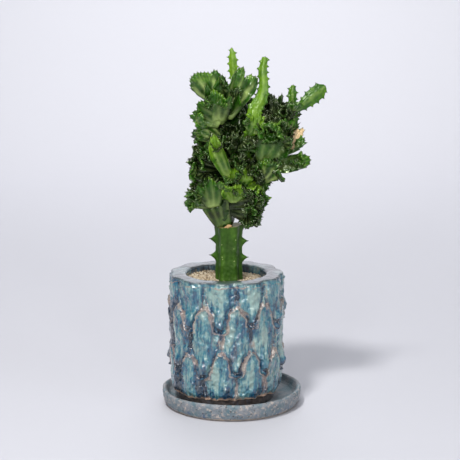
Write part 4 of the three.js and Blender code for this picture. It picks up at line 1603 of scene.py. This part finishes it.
@dataclass
class Saucer:
    """The low, thick saucer, a little uneven from the hand.

    Its profile runs from the underside over the lip to the floor: how far inside the rim, and how high.
    """

    sides: int = 420
    floor: float = 8.0
    profile: tuple = (
        (9.5, 0.0), (7.4, 0.5), (5.2, 2.2), (3.4, 4.6), (2.0, 8.0), (1.2, 12.0), (0.7, 15.5), (0.8, 17.6),
        (1.6, 19.0), (3.0, 19.6), (4.6, 19.3), (5.8, 18.2), (6.8, 16.0), (8.2, 12.6), (10.5, 10.0),
        (14.0, 8.5), (20.0, 8.0),
    )

    def build(self, glaze: bpy.types.Material) -> None:
        """Makes the saucer.

        Args:
            glaze: The saucer's material.
        """
        low, high = box_mm("saucer")
        radius, height = (high[0] - low[0]) / 2, high[2]
        profile = np.array(self.profile)
        fine = np.linspace(0, len(profile) - 1, 100)
        r = radius - np.interp(fine, np.arange(len(profile)), profile[:, 0])
        z = np.interp(fine, np.arange(len(profile)), profile[:, 1])
        r = np.concatenate([[20.0, 50.0], r, [40.0, 20.0]])
        z = np.concatenate([[0.0, 0.0], z, [self.floor] * 2])
        sides = self.sides
        place = round_axis(np.repeat(r[:, None], sides, axis=1), z[:, None])
        free = smooth(1.0, 8.0, z)[:, None]
        rough = (waves(place, 60.0, 31) * 0.6 + waves(place, 7.0, 32, 4) * 0.42) * free
        outside = ((fine > 1) & (fine < 9.5)).astype(float)
        outside = np.concatenate([[0.0, 0.0], outside, [0.0, 0.0]])[:, None]
        wall_share = (z[:, None] / height) * outside
        radii = r[:, None] + rough * (0.5 + 0.5 * outside) - 0.6 * free * outside
        heights = (
            z[:, None] + (0.7 * waves(place * [1, 1, 0], 70.0, 33) - 0.3) * smooth(8.0, 19.0, z)[:, None]
        )
        low_band = smooth(0.62, 0.2, wall_share) * outside
        bare = (
            smooth(0.17, 0.06, wall_share + 0.05 * waves(place, 12.0, 34))
            * np.maximum(outside, z[:, None] < 2)
        )
        clay = Clay()
        flat = np.zeros((1, sides))
        radii = np.concatenate([flat + 0.4, radii, flat + 0.4])
        heights = np.concatenate([flat, np.broadcast_to(heights, (len(r), sides)), flat + self.floor])
        values = {
            key: np.pad(np.broadcast_to(value, (len(r), sides)), ((1, 1), (0, 0)))
            for key, value in (("outside", outside), ("low", low_band), ("bare", bare))
        }
        ring_piece(clay, radii, heights, (0.0, 0.0), False, **values)
        hand_over(clay.piece("saucer_body", glaze), "saucer_glaze", "saucer")


@dataclass
class Filling:
    """The soil, and the gravel spread over it grain by grain."""

    grains: int = 2150
    grain: tuple[float, float] = (1.0, 1.6)  # smallest and largest radius
    heap: float = 3.0  # how far under the gravel's highest point the loose grains lie
    stem_clear: float = 14.0  # no grain lies nearer to the rootstock's middle

    def build_soil(self, soil: bpy.types.Material) -> None:
        """Makes the soil under the gravel.

        Args:
            soil: The soil's material.
        """
        low, high = box_mm("potting_soil")
        middle = (low[:2] + high[:2]) / 2
        radius = (high[0] - low[0]) / 2
        sides = 120
        profile = [
            (0.5, 0), (0.6, 0), (0.89, 0), (0.93, 0.35), (0.97, 0.7), (0.995, 0.97), (0.99, 1), (0.85, 1),
            (0.65, 1), (0.5, 1),
        ]
        radii = np.array([[r * radius] for r, _ in profile]) + np.zeros((1, sides))
        heights = np.array([[low[2] + z * (high[2] - low[2])] for _, z in profile]) + np.zeros((1, sides))
        radii[0], radii[-1] = 0.5, 12.0
        place = round_axis(radii, heights)
        lumps = waves(place, 9.0, 51)
        inner = (heights > high[2] - 1) & (radii < 0.97 * radius)
        heights = heights + np.where(inner, lumps * 0.5 - 0.5, 0)
        clay = Clay()
        ring_piece(clay, radii, heights, middle, False)
        hand_over(clay.piece("potting_soil_fill", soil), "soil", "potting_soil")

    def build_gravel(self, stone: bpy.types.Material) -> None:
        """Makes the gravel: a bed and loose grains packed on it.

        Args:
            stone: The gravel's material.
        """
        low, high = box_mm("gravel_dressing")
        middle = (low[:2] + high[:2]) / 2
        radius = (high[0] - low[0]) / 2
        stock = np.array([STOCK_X, 0.0])
        draw = np.random.default_rng(52)
        clay = Clay()
        sides = 96
        shares = np.array([0.25, 0.6, 1.0, 1.0, 0.8, 0.6, 0.45, 0.33])
        level = high[2] - self.heap
        tops = np.array(
            [low[2], low[2], low[2], level - 1.4, level - 0.6, level - 0.6, level - 0.6, level - 0.6]
        )
        radii = shares[:, None] * radius + np.zeros((1, sides))
        ring_piece(clay, radii, tops[:, None] + np.zeros((1, sides)), middle, True, shade=0.02)
        ball, faces = self._pebble()
        placed: list[Array] = []
        spots = []
        while len(spots) < self.grains:
            spot = middle + draw.uniform(-radius, radius, 2)
            size = draw.uniform(*self.grain)
            if np.hypot(
                *(spot - middle)
            ) > radius - size * 0.9 or np.hypot(*(spot - stock)) < self.stem_clear:
                continue
            spots.append((spot, size))
        for spot, size in spots:
            lie = level + draw.uniform(-0.9, 0.9) - 1.2 * (spot[0] - middle[0]) / radius
            lie += 0.8 * math.sin(spot[0] * 0.21 + 1) * math.cos(spot[1] * 0.17)
            shape = ball * (draw.uniform(0.75, 1.2, 3) * size) * (1 + 0.12 * draw.normal(size=(len(ball), 1)))
            turn = np.linalg.qr(draw.normal(size=(3, 3)))[0]
            turn[:, 0] *= np.sign(np.linalg.det(turn))
            placed.append(shape @ turn.T + [spot[0], spot[1], lie])
        count = len(placed)
        numbers = (np.arange(count) * len(ball))[:, None, None] + faces[None]
        shades = np.repeat(draw.beta(3.2, 1.6, count), len(ball))
        clay.add(np.concatenate(placed), numbers.reshape(-1, 3), shade=shades)
        hand_over(clay.piece("gravel_grains", stone), "gravel", "gravel_dressing")

    def _pebble(self) -> tuple[Array, Array]:
        """The points and faces of a plain round grain.

        Returns:
            The points, and the point numbers of each face.
        """
        g = (1 + 5**0.5) / 2
        points = [
            (-1, g, 0), (1, g, 0), (-1, -g, 0), (1, -g, 0), (0, -1, g), (0, 1, g), (0, -1, -g), (0, 1, -g)
        ]
        points += [(g, 0, -1), (g, 0, 1), (-g, 0, -1), (-g, 0, 1)]
        faces = [
            (0, 11, 5), (0, 5, 1), (0, 1, 7), (0, 7, 10), (0, 10, 11), (1, 5, 9), (5, 11, 4), (11, 10, 2),
            (10, 7, 6), (7, 1, 8), (3, 9, 4), (3, 4, 2), (3, 2, 6), (3, 6, 8), (3, 8, 9), (4, 9, 5),
            (2, 4, 11), (6, 2, 10), (8, 6, 7), (9, 8, 1),
        ]
        split: list[tuple[int, int, int]] = []
        known: dict[tuple[int, int], int] = {}
        for a, b, c in faces:
            mids = []
            for p, q in ((a, b), (b, c), (c, a)):
                key = (min(p, q), max(p, q))
                if key not in known:
                    known[key] = len(points)
                    points.append(tuple((points[p][k] + points[q][k]) / 2 for k in range(3)))
                mids.append(known[key])
            ab, bc, ca = mids
            split += [(a, ab, ca), (b, bc, ab), (c, ca, bc), (ab, bc, ca)]
        return unit(np.array(points, dtype=float)), np.array(split)


# Studio -------------------------------------------------------------------------------------------------


@dataclass(frozen=True)
class Lamp:
    """A square soft light: its place, size and aim in metres, its power in watts and its colour."""

    name: str
    at: tuple[float, float, float]
    size: float
    power: float
    colour: Colour = (1.0, 1.0, 1.0)
    aim: tuple[float, float, float] = (0.0, 0.0, 0.2)

    def build(self) -> None:
        """Makes the light."""
        data = bpy.data.lights.new(self.name, "AREA")
        data.shape, data.size, data.energy, data.color = "SQUARE", self.size, self.power, self.colour
        lamp = bpy.data.objects.new(self.name, data)
        lamp.location = self.at
        lamp.rotation_mode = "QUATERNION"
        lamp.rotation_quaternion = (Vector(self.aim) - Vector(self.at)).to_track_quat("-Z", "Y")
        bpy.context.scene.collection.objects.link(lamp)


@dataclass
class Studio:
    """A pale sweep of floor and backdrop, soft lights and the camera."""

    camera_at: tuple[float, float, float] = (-0.0017, -1.5, 0.482)
    pitch_down: float = 10.73
    lens: float = 107.7
    paper: Colour = srgb(192, 193, 200)
    lamps: tuple[Lamp, ...] = (
        Lamp("key", (-0.35, -0.75, 1.55), 0.2, 22.0, (1.0, 0.98, 0.96)),
        Lamp("window", (-0.5, -1.6, 0.62), 0.2, 7.0),
        Lamp("side", (0.65, -1.6, 0.75), 0.16, 4.5),
        Lamp("glint", (-0.15, -1.7, 1.1), 0.14, 3.5),
        Lamp("fill", (1.7, -1.2, 0.8), 0.6, 6.0, (0.93, 0.96, 1.0)),
        Lamp("top", (0.1, 0.25, 1.6), 0.5, 4.0),
        Lamp("backdrop", (0.0, 1.5, 2.6), 1.4, 84.0, (1.0, 0.99, 0.98), (0.0, 3.0, 1.5)),
    )

    def build(self) -> None:
        """Sets the stage."""
        self._sweep()
        for lamp in self.lamps:
            lamp.build()
        world = bpy.data.worlds.new("studio")
        world.use_nodes = True
        sky = world.node_tree.nodes["Background"]
        sky.inputs["Color"].default_value = (0.86, 0.88, 0.94, 1.0)
        sky.inputs["Strength"].default_value = 0.2
        bpy.context.scene.world = world
        camera = bpy.data.objects.new("camera", bpy.data.cameras.new("camera"))
        camera.location = self.camera_at
        camera.rotation_euler = (math.radians(90 - self.pitch_down), 0, 0)
        camera.data.lens = self.lens
        camera.data.sensor_width = 36.0
        camera.data.clip_end = 50.0
        bpy.context.scene.collection.objects.link(camera)
        bpy.context.scene.camera = camera

    def _sweep(self) -> None:
        """Makes the floor with the backdrop rising from it."""
        clay = Clay()
        turn = np.radians(np.linspace(0, 90, 24))
        y = np.concatenate([[-6000.0], 1600 + 900 * np.sin(turn), [2500.0]])
        z = np.concatenate([[0.0], 900 - 900 * np.cos(turn), [6000.0]])
        x = np.array([-6000.0, 6000.0])
        points = stacked(x[None, :], y[:, None], z[:, None] - 0.05)
        clay.add(points, grid_faces(np.arange(points.shape[0] * 2).reshape(-1, 2)))
        bench = Bench("paper")
        grain = bench.cloud(60.0, 3.0)
        shade = bench.mixed(self.paper, (0.7, 0.71, 0.76), grain * 0.05)
        clay.piece("paper_sweep", bench.finish(base_color=shade, roughness=0.85))


def main() -> None:
    """Builds the pieces in order."""
    logging.basicConfig(level=logging.INFO, format="%(name)s: %(message)s")
    bpy.context.scene.view_settings.view_transform = "Standard"
    skin = CrestSkin().make()
    Saucer().build(SaucerGlaze().make())
    Pot().build(PotGlaze().make())
    filling = Filling()
    filling.build_soil(DampSoil().make())
    filling.build_gravel(GravelStone().make())
    Rootstock().build(StockSkin().make())
    CrestTrunk().build(skin)
    Crest().build(skin)
    for shoot in SHOOTS:
        shoot.build(skin)
    Studio().build()


if __name__ == "__main__":
    main()
